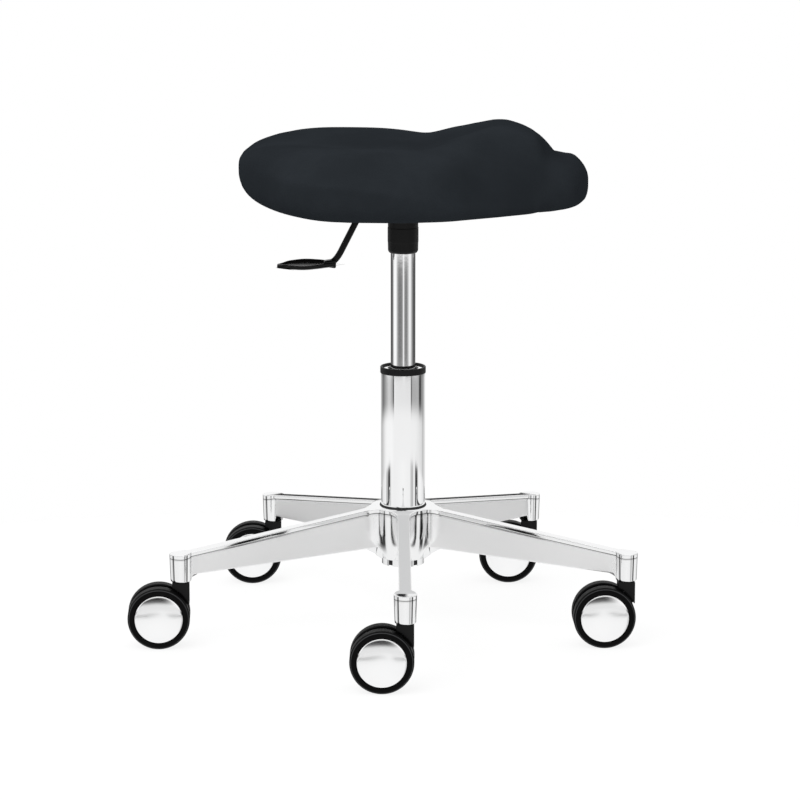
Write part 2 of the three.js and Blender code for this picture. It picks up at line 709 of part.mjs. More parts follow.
// A profile turned about the axle, with a flat facet under it, on the side given by direction.
function turnedOnAxle(profile, direction) {
  const geometry = turned(profile, wheelSides, Math.PI / wheelSides);
  geometry.rotateX(direction > 0 ? -Math.PI / 2 : Math.PI / 2);
  return geometry.translate(axleX, 0, axleHeight);
}

function wheelProfile() {
  const floor = wheelOuter - wheel.recessDepth;
  return [
    [axle.radius + fit, wheelInner],
    [wheel.radius - wheel.shoulder, wheelInner],
    [wheel.radius, wheelInner + wheel.shoulder],
    [wheel.radius, wheelOuter - wheel.shoulder],
    [wheel.radius - wheel.shoulder, wheelOuter],
    [wheel.recessRadius, wheelOuter],
    [wheel.recessRadius, floor],
    [axle.radius + fit, floor],
  ];
}

function capProfile() {
  const seatFace = wheelOuter - wheel.recessDepth + fit;
  return [
    [0, seatFace],
    [cap.radius, seatFace],
    [cap.radius, wheelOuter + cap.rimRise],
    [cap.shoulderRadius, wheelOuter + cap.shoulderRise],
    [0, wheelOuter + cap.dome],
  ];
}

function buildHousing() {
  const disc = turnedOnAxle(rodProfile(housing.discRadius, -webHalf, webHalf), 1);
  const bossAcross = [-boss.width / 2, boss.width / 2];
  const bossUp = [casterTop - boss.depth, casterTop];
  const head = block([-housing.front, housing.back], bossAcross, bossUp);
  const web = block([-housing.front, housing.back], [-webHalf, webHalf], [casterTop - boss.depth, casterTop]);
  const clearRadius = wheel.radius + boss.wheelGap;
  const wheelWell = rodProfile(clearRadius, webHalf, wheelOuter);
  const shapedHead = cutFrom(toSolid(head), [turnedOnAxle(wheelWell, 1), turnedOnAxle(wheelWell, -1)]);
  const stemHole = rodProfile(stem.radius + fit, casterTop - stem.sunk - fit, casterTop + overrun);
  const axleHole = rodProfile(axle.radius + fit, -wheelInner, wheelInner);
  const cutters = [turned(stemHole, smallSides), turnedOnAxle(axleHole, 1)];
  return cutFrom(join([disc, shapedHead, web]), cutters);
}

function stemProfile() {
  const top = armSocketBottom + stem.engaged;
  const grooveHigh = top - gripRing.fromTop;
  const grooveLow = grooveHigh - gripRing.width - 2 * fit;
  return [
    [0, casterTop - stem.sunk],
    [stem.radius, casterTop - stem.sunk],
    [stem.radius, grooveLow],
    [gripRing.grooveRadius, grooveLow],
    [gripRing.grooveRadius, grooveHigh],
    [stem.radius, grooveHigh],
    [stem.radius, top],
    [0, top],
  ];
}

function buildGripRing() {
  const bottom = armSocketBottom + stem.engaged - gripRing.fromTop - gripRing.width - fit;
  const outer = stem.radius + armSocket.boreSlack - gripRing.slack;
  return openRing(gripRing.grooveRadius + fit, outer, bottom, bottom + gripRing.width, gripRing.slot);
}

function buildCaster(name, heading, angle) {
  const caster = new THREE.Group();
  const reach = wheelInner + axle.seat;
  place(caster, `stem_${name}`, turned(stemProfile(), smallSides), steel);
  place(caster, `grip_ring_${name}`, buildGripRing(), steel);
  place(caster, `housing_${name}`, buildHousing(), blackPlastic);
  place(caster, `axle_${name}`, turnedOnAxle(rodProfile(axle.radius, -reach, reach), 1), steel);
  [['near', -1], ['far', 1]].forEach(([side, direction]) => {
    place(caster, `wheel_${name}_${side}`, turnedOnAxle(wheelProfile(), direction), blackRubber);
    place(caster, `cap_${name}_${side}`, turnedOnAxle(capProfile(), direction), chrome);
  });
  caster.position.set(base.stemCircle * Math.cos(angle), base.stemCircle * Math.sin(angle), 0);
  caster.rotation.z = THREE.MathUtils.degToRad(heading);
  return caster;
}

casterNames.forEach((name, index) => {
  stool.add(buildCaster(name, casterHeadings[index], armAngle(index)));
});

// Move the middle of the stool's box over the origin
const bounds = new THREE.Box3().setFromObject(stool);
const centre = bounds.getCenter(new THREE.Vector3());
stool.position.set(-centre.x, -centre.y, -bounds.min.z);

export default stool;
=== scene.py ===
"""Dresses a height-adjustable saddle stool: polished star base on twin-wheel casters,
telescopic column, release lever and a padded saddle seat."""

import math

import bmesh
import bpy
from bpy.props import FloatProperty, FloatVectorProperty, PointerProperty
from mathutils import Matrix, Vector


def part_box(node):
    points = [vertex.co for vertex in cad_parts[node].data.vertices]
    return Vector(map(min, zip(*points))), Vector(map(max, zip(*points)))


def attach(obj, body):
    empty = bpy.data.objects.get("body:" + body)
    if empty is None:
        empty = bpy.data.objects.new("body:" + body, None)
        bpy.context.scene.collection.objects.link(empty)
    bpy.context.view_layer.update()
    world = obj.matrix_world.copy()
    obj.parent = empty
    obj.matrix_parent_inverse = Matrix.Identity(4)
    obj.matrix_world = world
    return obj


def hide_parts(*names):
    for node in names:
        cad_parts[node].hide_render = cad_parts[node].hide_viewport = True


bl_info = {
    "name": "Saddle stool",
    "version": (1, 0, 0),
    "blender": (4, 5, 0),
    "location": "View3D > Sidebar > Saddle stool",
    "description": "Builds the dressed pieces of a saddle stool over its fixed frame",
    "category": "Add Mesh",
}

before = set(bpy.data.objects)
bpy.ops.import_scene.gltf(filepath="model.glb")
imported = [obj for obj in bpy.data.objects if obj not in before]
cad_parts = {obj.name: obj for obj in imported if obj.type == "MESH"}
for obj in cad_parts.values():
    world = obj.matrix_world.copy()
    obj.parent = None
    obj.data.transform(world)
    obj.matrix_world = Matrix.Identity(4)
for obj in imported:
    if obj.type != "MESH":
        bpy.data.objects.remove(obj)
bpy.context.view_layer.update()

MM = 0.001
UP = Vector((0, 0, 1))
TURN = 2 * math.pi


def low(node):
    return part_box(node)[0]


def high(node):
    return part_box(node)[1]


def middle(node):
    return (low(node) + high(node)) / 2


COLUMN = middle("column_tube") * Vector((1, 1, 0))
HUB_TOP = high("base_casting").z
COLLAR_BOTTOM = high("base_casting").z - 67.8 * MM
SOCKET_BOTTOM = high("housing_front").z + 0.3 * MM
ARM_COUNT = 5
CASTERS = ("front", "right", "rear_right", "rear_left", "left")


# Sizes and colours


class SeatSettings(bpy.types.PropertyGroup):
    """The padded saddle."""

    rear: FloatProperty(name="Rear", description="Reach behind the column", default=0.1845, unit="LENGTH")
    front: FloatProperty(name="Front", description="Reach before the column", default=0.2065, unit="LENGTH")
    half_width: FloatProperty(name="Half width", description="Half of the broadest place", default=0.185, unit="LENGTH")
    thickness: FloatProperty(name="Thickness", description="Padding between underside and rim", default=0.071, unit="LENGTH")
    pommel_rise: FloatProperty(name="Pommel rise", description="Height of the pommel over the rim", default=0.021, unit="LENGTH")
    swell: FloatProperty(name="Swell", description="How far the padding may swell", default=0.0018, unit="LENGTH")
    cover: FloatVectorProperty(name="Cover", description="Colour of the cover", default=(0.0178, 0.0210, 0.0246), subtype="COLOR")
    grain: FloatProperty(name="Grain", description="Size of the cover's grain", default=0.0011, unit="LENGTH")


class BaseSettings(bpy.types.PropertyGroup):
    """The polished star base."""

    reach: FloatProperty(name="Reach", description="From the column to a caster's stem", default=0.2614, unit="LENGTH")
    arm_half: FloatProperty(name="Arm half width", description="Half width of an arm's upper strip", default=0.0067, unit="LENGTH")
    web_half: FloatProperty(name="Web half width", description="Half width under the strip", default=0.0054, unit="LENGTH")
    draft: FloatProperty(name="Draft", description="How much an arm widens downwards", default=0.0003, unit="LENGTH")
    strip: FloatProperty(name="Strip depth", description="Depth of the upper strip", default=0.0044, unit="LENGTH")
    edge: FloatProperty(name="Edge", description="Rounding of the upper edges", default=0.0009, unit="LENGTH")
    crown: FloatProperty(name="Crown", description="How much the top of an arm is domed", default=0.00012, unit="LENGTH")
    fillet: FloatProperty(name="Fillet", description="Hollow between an arm and the hub", default=0.021, unit="LENGTH")
    metal: FloatVectorProperty(name="Metal", description="Colour of the polished metal", default=(0.9, 0.903, 0.906), subtype="COLOR")


class ColumnSettings(bpy.types.PropertyGroup):
    """The telescopic column."""

    tube_radius: FloatProperty(name="Tube radius", description="Outer tube", default=0.025, unit="LENGTH")
    cylinder_radius: FloatProperty(name="Cylinder radius", description="Inner bright tube", default=0.014, unit="LENGTH")
    ring_radius: FloatProperty(name="Ring radius", description="Black ring on the outer tube", default=0.0257, unit="LENGTH")
    socket_radius: FloatProperty(name="Socket radius", description="Black cap under the seat", default=0.0173, unit="LENGTH")
    rim_radius: FloatProperty(name="Rim radius", description="Flared rim of the cap", default=0.0187, unit="LENGTH")


class LeverSettings(bpy.types.PropertyGroup):
    """The release lever."""

    rod_radius: FloatProperty(name="Rod radius", description="Bent rod", default=0.0036, unit="LENGTH")
    leaf_length: FloatProperty(name="Leaf length", description="Paddle's leaf", default=0.064, unit="LENGTH")
    leaf_width: FloatProperty(name="Leaf width", description="Broadest place of the leaf", default=0.031, unit="LENGTH")
    leaf_thickness: FloatProperty(name="Leaf thickness", description="Moulded wall", default=0.0036, unit="LENGTH")
    leaf_rim: FloatProperty(name="Leaf rim", description="Height of the raised rim", default=0.0014, unit="LENGTH")


class CasterSettings(bpy.types.PropertyGroup):
    """The twin-wheel casters."""

    wheel_radius: FloatProperty(name="Wheel radius", description="Tread", default=0.0347, unit="LENGTH")
    wheel_width: FloatProperty(name="Wheel width", description="One wheel", default=0.016, unit="LENGTH")
    shoulder: FloatProperty(name="Shoulder", description="Rounding beside the tread", default=0.002, unit="LENGTH")
    cap_radius: FloatProperty(name="Cap radius", description="Bright cap", default=0.0268, unit="LENGTH")
    dome: FloatProperty(name="Dome", description="Rise of the cap's middle", default=0.0036, unit="LENGTH")
    head_width: FloatProperty(name="Head width", description="Housing over the wheels", default=0.017, unit="LENGTH")


class StudioSettings(bpy.types.PropertyGroup):
    """The floor, the light and the camera."""

    distance: FloatProperty(name="Distance", description="From the camera to its target", default=3.833, unit="LENGTH")
    elevation: FloatProperty(name="Elevation", description="Height of the camera as an angle", default=math.radians(11.42), subtype="ANGLE")
    azimuth: FloatProperty(name="Azimuth", description="Turn of the camera", default=math.radians(0.5), subtype="ANGLE")
    focal: FloatProperty(name="Focal length", description="In picture widths", default=3395 / 800)
    top_light: FloatProperty(name="Top light", description="Power of the soft panel", default=26, unit="POWER")
    floor_glow: FloatProperty(name="Floor glow", description="Light that the paper gives off", default=0.86)
    floor: FloatVectorProperty(name="Floor", description="Colour of the floor", default=(0.13, 0.13, 0.13), subtype="COLOR")


def settings():
    return bpy.context.scene.saddle_stool


# Shader maths


class Wire:
    """A shader socket. Arithmetic on it adds Math nodes."""

    def __init__(self, graph, socket):
        self.graph = graph
        self.socket = socket

    def __add__(self, other):
        return self.graph.maths("ADD", self, other)

    def __radd__(self, other):
        return self.graph.maths("ADD", other, self)

    def __sub__(self, other):
        return self.graph.maths("SUBTRACT", self, other)

    def __rsub__(self, other):
        return self.graph.maths("SUBTRACT", other, self)

    def __mul__(self, other):
        return self.graph.maths("MULTIPLY", self, other)

    def __rmul__(self, other):
        return self.graph.maths("MULTIPLY", other, self)

    def __truediv__(self, other):
        return self.graph.maths("DIVIDE", self, other)

    def __rtruediv__(self, other):
        return self.graph.maths("DIVIDE", other, self)

    def __pow__(self, other):
        return self.graph.maths("POWER", self, other)

    def __abs__(self):
        return self.graph.maths("ABSOLUTE", self)


class Graph:
    """A node tree and the ways to add to it."""

    def __init__(self, tree):
        self.tree = tree
        tree.nodes.clear()

    def wire(self, node, name=0):
        return Wire(self, node.outputs[name])

    def node(self, kind, options=None, inputs=None):
        """Adds a node, sets its options, then its sockets' values or links."""
        node = self.tree.nodes.new(kind)
        for option, value in (options or {}).items():
            if option == "stops":
                self.set_stops(node.color_ramp, value)
            else:
                setattr(node, option, value)
        for name, value in (inputs or {}).items():
            if isinstance(value, Wire):
                self.tree.links.new(value.socket, node.inputs[name])
            else:
                node.inputs[name].default_value = value
        return node

    @staticmethod
    def set_stops(ramp, stops):
        while len(ramp.elements) > 1:
            ramp.elements.remove(ramp.elements[-1])
        for index, (position, value) in enumerate(stops):
            element = ramp.elements[0] if index == 0 else ramp.elements.new(position)
            element.position = position
            element.color = (value, value, value, 1)

    def maths(self, operation, *values):
        return self.wire(self.node("ShaderNodeMath", {"operation": operation}, dict(enumerate(values))))

    def coordinates(self):
        return self.wire(self.node("ShaderNodeTexCoord"), "Object")

    def painted(self, name):
        """A number that the mesh carries at each of its points."""
        return self.wire(self.node("ShaderNodeAttribute", {"attribute_name": name}), "Fac")

    def ramp(self, value, stops):
        return self.wire(self.node("ShaderNodeValToRGB", {"stops": stops}, {"Fac": value}))

    def noise(self, scale, detail=3, roughness=0.5, vector=None):
        inputs = {
            "Vector": vector or self.coordinates(),
            "Scale": scale,
            "Detail": detail,
            "Roughness": roughness,
        }
        return self.wire(self.node("ShaderNodeTexNoise", {}, inputs), "Fac")

    def stretched(self, scale):
        """Object coordinates drawn out by a scale for each axis."""
        inputs = {"Vector": self.coordinates(), "Scale": scale}
        return self.wire(self.node("ShaderNodeMapping", {}, inputs))

    def between(self, value, start, end, low_value=0.0, high_value=1.0):
        """A smooth step from one value to another."""
        inputs = {
            "Value": value,
            "From Min": start,
            "From Max": end,
            "To Min": low_value,
            "To Max": high_value,
        }
        node = self.node("ShaderNodeMapRange", {"interpolation_type": "SMOOTHSTEP"}, inputs)
        return self.wire(node)

    def mix(self, factor, first, second):
        """A colour between two colours."""
        options = {"data_type": "RGBA", "blend_type": "MIX"}
        node = self.node("ShaderNodeMix", options, {0: factor, 6: first, 7: second})
        return self.wire(node, 2)

    def bump(self, height, strength, distance, normal=None):
        inputs = {"Strength": strength, "Distance": distance, "Height": height}
        if normal:
            inputs["Normal"] = normal
        return self.wire(self.node("ShaderNodeBump", {}, inputs), "Normal")


def shade(colour, gain=1.0):
    return (*[min(part * gain, 1.0) for part in colour], 1)


def new_finish(name, recipe, constants):
    """A material whose recipe returns what varies, set over what is constant."""
    material = bpy.data.materials.new(name)
    material.use_nodes = True
    graph = Graph(material.node_tree)
    surface = graph.node("ShaderNodeBsdfPrincipled", {}, {**constants, **recipe(graph)})
    graph.node("ShaderNodeOutputMaterial", {}, {"Surface": graph.wire(surface)})
    return material


def cover_recipe(graph):
    """Fine-grained synthetic leather with a faint drift of tone."""
    stool = settings().seat
    drift = graph.between(graph.noise(9, 4, 0.6), 0.35, 0.68)
    fleck = graph.noise(520, 2)
    tone = graph.mix(drift, shade(stool.cover, 0.9), shade(stool.cover, 1.12))
    tone = graph.mix(fleck * 0.18, tone, shade(stool.cover, 0.6))
    cell_inputs = {"Vector": graph.coordinates(), "Scale": 1 / stool.grain, "Randomness": 0.9}
    cells = graph.wire(graph.node("ShaderNodeTexVoronoi", {"feature": "SMOOTH_F1"}, cell_inputs))
    creases = graph.between(cells, 0.15, 0.75)
    fine = graph.noise(2600, 2)
    folds = graph.noise(34, 3)
    height = creases * -0.7 + fine * 0.25 + folds * 1.4
    return {
        "Base Color": tone,
        "Roughness": 0.56 + drift * 0.06 - fleck * 0.04,
        "Normal": graph.bump(height, 0.22, 0.00025),
    }


def polished_recipe(graph):
    """Cast metal polished by hand: mirror-like hub and sockets, satin arm sides, and painted shade in the step under
    the upper strip of each arm and socket.
    """
    metal = settings().base.metal
    waves = graph.noise(38, 2)
    smear = graph.noise(7, 4, 0.65)
    hairs = graph.noise(900, 2, 0.5, graph.stretched((1, 1, 0.15)))
    bright = graph.mix(smear, shade(metal, 0.97), shade(metal, 1.03))
    bright = graph.mix(graph.painted("satin") * 0.8, bright, (0.99, 0.99, 0.99, 1))
    return {
        # Painted shade: the corner mark darkens the colour nearly to black in the step under the upper strip.
        "Base Color": graph.mix(graph.painted("corner"), bright, shade(metal, 0.05)),
        "Roughness": 0.05 + smear * 0.03 + hairs * 0.02 + graph.painted("satin") * 0.4,
        "Normal": graph.bump(waves, 0.06, 0.0006),
    }


def tube_recipe(graph):
    """Drawn tube, turned and polished, so its faint lines run round it."""
    metal = (0.93, 0.932, 0.935)
    lines = graph.noise(60, 3, 0.6, graph.stretched((1, 1, 22)))
    smear = graph.noise(12, 3)
    return {
        "Base Color": graph.mix(smear, shade(metal, 0.96), shade(metal, 1.02)),
        "Roughness": 0.02 + lines * 0.02,
        "Normal": graph.bump(smear, 0.02, 0.0002),
    }


def chrome_recipe(graph):
    """Plated pressing with the slightest orange peel."""
    peel = graph.noise(240, 2)
    smear = graph.noise(25, 3)
    return {
        "Base Color": graph.mix(smear, (0.93, 0.935, 0.94, 1), (0.98, 0.98, 0.985, 1)),
        "Roughness": 0.03 + smear * 0.02,
        "Normal": graph.bump(peel, 0.05, 0.0001),
    }


def cap_recipe(graph):
    """Plated cap, a little hazy from use."""
    haze = graph.noise(60, 3)
    return {
        "Base Color": graph.mix(haze, (0.95, 0.953, 0.956, 1), (0.985, 0.986, 0.988, 1)),
        "Roughness": 0.14 + haze * 0.03,
        "Normal": graph.bump(graph.noise(90, 2), 0.02, 0.0001),
    }


def steel_recipe(graph):
    """Machined steel with turning marks."""
    marks = graph.noise(160, 3, 0.6, graph.stretched((1, 1, 12)))
    return {
        "Base Color": graph.mix(marks, (0.36, 0.365, 0.37, 1), (0.52, 0.525, 0.53, 1)),
        "Roughness": 0.28 + marks * 0.16,
        "Normal": graph.bump(marks, 0.15, 0.0002),
    }


def moulded_recipe(graph):
    """Black moulded plastic with a spark-eroded grain."""
    grain = graph.noise(1500, 2)
    drift = graph.noise(30, 3)
    return {
        "Base Color": graph.mix(drift, (0.0035, 0.0036, 0.0037, 1), (0.006, 0.0061, 0.0062, 1)),
        "Roughness": 0.36 + drift * 0.08 + grain * 0.06,
        "Normal": graph.bump(grain, 0.14, 0.0001),
    }


def glossy_recipe(graph):
    """Black plastic with a smooth moulded skin."""
    drift = graph.noise(30, 3)
    return {
        "Base Color": graph.mix(drift, (0.0035, 0.0036, 0.0037, 1), (0.006, 0.0061, 0.0062, 1)),
        "Roughness": 0.2 + drift * 0.08,
        "Normal": graph.bump(graph.noise(700, 2), 0.08, 0.0001),
    }


def tread_recipe(graph):
    """Soft wheel tread: dark, a little dusty where it rolls, with a painted highlight along its shoulder."""
    dust = graph.between(graph.noise(70, 4, 0.65), 0.5, 0.8)
    grain = graph.noise(1100, 2)
    tone = graph.mix(dust, (0.0014, 0.0014, 0.0015, 1), (0.0034, 0.0035, 0.0036, 1))
    # Painted highlight: the colour is lightened along the shoulder's edge.
    painted_shoulder_highlight = graph.painted("painted_shoulder_highlight") * (0.6 + grain * 0.6)
    return {
        "Base Color": graph.mix(painted_shoulder_highlight, tone, (0.05, 0.051, 0.053, 1)),
        "Roughness": 0.42 + dust * 0.12 + grain * 0.05,
        "Normal": graph.bump(grain, 0.12, 0.00012),
    }


def rubber_recipe(graph):
    """Plain black rubber."""
    bloom = graph.noise(50, 4, 0.6)
    return {
        "Base Color": graph.mix(bloom, (0.014, 0.014, 0.014, 1), (0.03, 0.03, 0.03, 1)),
        "Roughness": 0.7 + bloom * 0.15,
        "Normal": graph.bump(graph.noise(800, 2), 0.2, 0.0002),
    }


def coated_recipe(graph):
    """Black powder coat with its orange peel."""
    peel = graph.noise(420, 3, 0.55)
    drift = graph.noise(18, 3)
    return {
        "Base Color": graph.mix(drift, (0.003, 0.0031, 0.0032, 1), (0.005, 0.0051, 0.0052, 1)),
        "Roughness": 0.3 + drift * 0.08,
        "Normal": graph.bump(peel, 0.25, 0.00025),
    }


def board_recipe(graph):
    """Stained plywood board, its grain along the seat."""
    grain = graph.noise(28, 5, 0.7, graph.stretched((1, 14, 14)))
    rings = graph.between(grain, 0.3, 0.7)
    return {
        "Base Color": graph.mix(rings, (0.016, 0.014, 0.012, 1), (0.045, 0.038, 0.03, 1)),
        "Roughness": 0.62 + grain * 0.2,
        "Normal": graph.bump(grain, 0.3, 0.0003),
    }


RECIPES = {
    "seat_cover": (cover_recipe, {"Specular IOR Level": 0.0}),
    "polished_aluminium": (polished_recipe, {"Metallic": 1.0}),
    "polished_tube": (tube_recipe, {"Metallic": 1.0}),
    "bright_chrome": (chrome_recipe, {"Metallic": 1.0}),
    "cap_chrome": (cap_recipe, {"Metallic": 1.0}),
    "plain_steel": (steel_recipe, {"Metallic": 1.0}),
    "black_plastic": (moulded_recipe, {"Specular IOR Level": 0.16}),
    "glossy_plastic": (glossy_recipe, {"Specular IOR Level": 0.16}),
    "tread_black": (tread_recipe, {"Specular IOR Level": 0.07}),
    "black_rubber": (rubber_recipe, {"Specular IOR Level": 0.3}),
    "black_steel": (coated_recipe, {"Specular IOR Level": 0.12}),
    "seat_board": (board_recipe, {"Specular IOR Level": 0.3}),
}


def finish_named(name):
    made = bpy.data.materials.get("finish_" + name)
    return made or new_finish("finish_" + name, *RECIPES[name])


# Shapes


def rounded_wire(bm, corners, closed=False, segments=3):
    """A chain of edges through (across, up, rounding) corners in the X-Z plane."""
    points = [bm.verts.new((across, 0, up)) for across, up, _ in corners]
    for first, second in zip(points, points[1:]):
        bm.edges.new((first, second))
    if closed:
        bm.edges.new((points[-1], points[0]))
    for point, (_, _, rounding) in zip(points, corners):
        if rounding:
            bmesh.ops.bevel(
                bm, geom=[point], offset=rounding, segments=segments, profile=0.5, affect="VERTICES", material=-1
            )


def closed_up(bm):
    """Merges doubles and turns every face outwards."""
    bmesh.ops.remove_doubles(bm, verts=bm.verts, dist=1e-6)
    bmesh.ops.dissolve_degenerate(bm, edges=bm.edges, dist=1e-7)
    bmesh.ops.recalc_face_normals(bm, faces=bm.faces)
    return bm


def lathe(corners, steps=96, closed=False):
    """Turns a profile of (radius, height, rounding) corners about Z."""
    bm = bmesh.new()
    rounded_wire(bm, corners, closed)
    bmesh.ops.spin(
        bm, geom=bm.verts[:] + bm.edges[:], cent=(0, 0, 0), axis=UP, angle=TURN, steps=steps, use_merge=True
    )
    return closed_up(bm)


def in_mm(corners):
    return [(across * MM, up * MM, rounding * MM) for across, up, rounding in corners]


def extruded(corners, width, edge, segments=3):
    """A closed X-Z outline thickened evenly to both sides of Y = 0, with rounded edges."""
    bm = bmesh.new()
    rounded_wire(bm, corners, closed=True, segments=segments)
    bmesh.ops.contextual_create(bm, geom=bm.edges)
    return thickened(bm, Vector((0, width, 0)), edge)


def thickened(bm, thickness, edge):
    """Turns a flat face into a plate with rounded edges."""
    grown = bmesh.ops.extrude_face_region(bm, geom=bm.faces[:])["geom"]
    moved = [part for part in grown if isinstance(part, bmesh.types.BMVert)]
    bmesh.ops.translate(bm, verts=moved, vec=thickness)
    bmesh.ops.translate(bm, verts=bm.verts, vec=-thickness / 2)
    bmesh.ops.recalc_face_normals(bm, faces=bm.faces)
    if edge:
        sharp = [e for e in bm.edges if e.calc_face_angle(0) > math.radians(50)]
        bmesh.ops.bevel(bm, geom=sharp, offset=edge, segments=2, profile=0.5, affect="EDGES", material=-1)
    return bm


def add_in(bm, other, placing=Matrix.Identity(4)):
    """Adds another shape to this one, and frees it."""
    bmesh.ops.transform(other, matrix=placing, verts=other.verts)
    mesh = bpy.data.meshes.new("part")
    other.to_mesh(mesh)
    other.free()
    bm.from_mesh(mesh)
    bpy.data.meshes.remove(mesh)
    return bm


def moved(bm, placing):
    bmesh.ops.transform(bm, matrix=placing, verts=bm.verts)
    return bm


def piece(name, bm, finish, body, *nodes, sharp=40, weighted=True):
    """Makes a shape a piece of the stool that rides a body and stands for CAD nodes."""
    mesh = bpy.data.meshes.new(name)
    bm.to_mesh(mesh)
    bm.free()
    thing = bpy.data.objects.new(name, mesh)
    bpy.context.scene.collection.objects.link(thing)
    return settled(thing, finish, body, *nodes, sharp=sharp, weighted=weighted)


def settled(thing, finish, body, *nodes, sharp=40, weighted=True):
    mesh = thing.data
    mesh.materials.clear()
    mesh.materials.append(finish_named(finish))
    mesh.shade_smooth()
    mesh.set_sharp_from_angle(angle=math.radians(sharp))
    if weighted:
        weigh = thing.modifiers.new("flat faces stay flat", "WEIGHTED_NORMAL")
        weigh.keep_sharp = True
    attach(thing, body)
    if nodes:
        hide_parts(*nodes)
    return thing


def smoothstep(start, end, value):
    t = min(max((value - start) / (end - start), 0.0), 1.0)
    return t * t * (3 - 2 * t)


def lerp(first, second, share):
    return first + (second - first) * share


def smooth_curve(places, values):
    """A smooth curve through (places, values) that never overshoots them."""
    steps = [b - a for a, b in zip(places, places[1:])]
    slopes = [(b - a) / step for a, b, step in zip(values, values[1:], steps)]
    tangents = [slopes[0]]
    for i in range(1, len(slopes)):
        before, after = slopes[i - 1], slopes[i]
        near, far = 2 * steps[i] + steps[i - 1], steps[i] + 2 * steps[i - 1]
        tangents.append((near + far) / (near / before + far / after) if before * after > 0 else 0.0)
    tangents.append(slopes[-1])

    def curve(place):
        at = min(max(place, places[0]), places[-1])
        i = 0
        while i < len(steps) - 1 and at > places[i + 1]:
            i += 1
        h = steps[i]
        t = (at - places[i]) / h
        t2, t3 = t * t, t * t * t
        return (
            values[i] * (2 * t3 - 3 * t2 + 1)
            + h * tangents[i] * (t3 - 2 * t2 + t)
            + values[i + 1] * (3 * t2 - 2 * t3)
            + h * tangents[i + 1] * (t3 - t2)
        )

    return curve


# Seat

OUTLINE_ALONG = (0.04, 0.157, 0.346, 0.55, 0.728, 0.876, 0.967)
OUTLINE_WIDTH = (0.383, 0.848, 1, 0.916, 0.654, 0.408, 0.312)
ALONG = (0, 0.14, 0.346, 0.524, 0.626, 0.758, 0.845, 0.885, 0.915, 0.955, 1)
CENTRE_RISE = (0.42, 0.04, -0.25, -0.26, 0.3, 0.96, 0.79, 0.1, -0.54, -0.17, -0.72)
CREST_RISE = (0.77, 0.48, 0.26, 0.22, 0.74, 1.15, 0.75, -0.37, -0.34, -0.34, -0.42)
CREST_WIDTH = (0.3, 0.54, 0.66, 0.65, 0.48, 0.26, 0.23, 0.24, 0.25, 0.26, 0.28)
FLANK_FALL = (0.16, 0.22, 0.25, 0.32, 0.56, 0.74, 0.72, 0.58, 0.46, 0.4, 0.38)
EDGE_FALL = (0.34, 0.32, 0.4, 0.65, 0.83, 0.91, 0.87, 0.76, 0.76, 0.62, 0.61)
BOTTOM_ALONG = (0, 0.2, 0.472, 0.728, 0.88, 1)
BOTTOM_RISE = (-0.349, -0.028, -0.007, 0.027, -0.048, -0.133)
POWER_ALONG = (0, 0.25, 0.6, 1)
TOP_POWER = (3.1, 2.9, 2.93, 4.21)
BOTTOM_POWER = (2.47, 5.01, 4.58, 3.72)
BOARD_SHARE = 0.8


class SeatForm:
    """The saddle's surfaces over the plan, in metres from the column's axis."""

    def __init__(self, seat):
        self.length = seat.rear + seat.front
        self.rear = seat.rear
        self.board_top = high("seat_shell").z
        under = low("seat_shell").z - 9.1 * MM
        rim = under + seat.thickness
        along = [self.place(share) for share in ALONG]
        side = [(self.place(a), w * seat.half_width) for a, w in zip(OUTLINE_ALONG, OUTLINE_WIDTH)]
        self.ring = [(-seat.rear, 0.0)] + [(x, -y) for x, y in side] + [(seat.front, 0.0)] + side[::-1]
        self.width = smooth_curve(
            [-seat.rear, *[x for x, _ in side], seat.front], [0.0, *[y for _, y in side], 0.0]
        )
        self.centre = smooth_curve(along, [rim + share * seat.pommel_rise for share in CENTRE_RISE])
        self.crest = smooth_curve(along, [rim + share * seat.pommel_rise for share in CREST_RISE])
        self.crest_width = smooth_curve(along, [share * seat.half_width for share in CREST_WIDTH])
        self.flank = smooth_curve(along, [rim - share * seat.thickness for share in FLANK_FALL])
        self.edge = smooth_curve(along, [rim - share * seat.thickness for share in EDGE_FALL])
        self.bottom = smooth_curve(
            [self.place(share) for share in BOTTOM_ALONG],
            [under + share * seat.thickness for share in BOTTOM_RISE],
        )
        fullness_along = [self.place(share) for share in POWER_ALONG]
        self.top_power = smooth_curve(fullness_along, TOP_POWER)
        self.bottom_power = smooth_curve(fullness_along, BOTTOM_POWER)

    def place(self, share):
        return -self.rear + share * self.length

    def outline(self, share):
        """A point of the plan outline, at a share of the way round from the rear."""
        count = len(self.ring)
        at = (share % 1.0) * count
        i = int(at)
        t = at - i
        points = [self.ring[(i + k) % count] for k in (-1, 0, 1, 2)]
        return [self.through(t, *[p[axis] for p in points]) for axis in (0, 1)]

    @staticmethod
    def through(t, before, start, end, after):
        leave, arrive = (end - before) / 2, (after - start) / 2
        bend = -3 * start + 3 * end - 2 * leave - arrive
        return start + leave * t + bend * t * t + (2 * start - 2 * end + leave + arrive) * t ** 3

    def top(self, x, y):
        across, crest = abs(y), self.crest_width(x)
        if across <= crest:
            return lerp(self.centre(x), self.crest(x), smoothstep(0, 1, across / crest))
        outer = max(self.width(x), crest + MM)
        t = min((across - crest) / (outer - crest), 1.0)
        return lerp(self.crest(x), self.flank(x), 1 - math.cos(t * math.pi / 2))

    def over(self, x, y, share):
        edge, power = self.edge(x), self.top_power(x)
        fullness = max(1 - share**power, 0.0) ** (1 / power)
        return edge + (self.top(x * share, y * share) - edge) * fullness

    def under(self, x, y, share):
        """The underside, with the recess that takes the board."""
        edge, power = self.edge(x), self.bottom_power(x)
        fullness = max(1 - share**power, 0.0) ** (1 / power)
        skin = edge - (edge - self.bottom(x * share)) * fullness
        recess = self.board_top + 2 * MM
        return lerp(recess, skin, smoothstep(BOARD_SHARE + 0.012, BOARD_SHARE + 0.034, share))


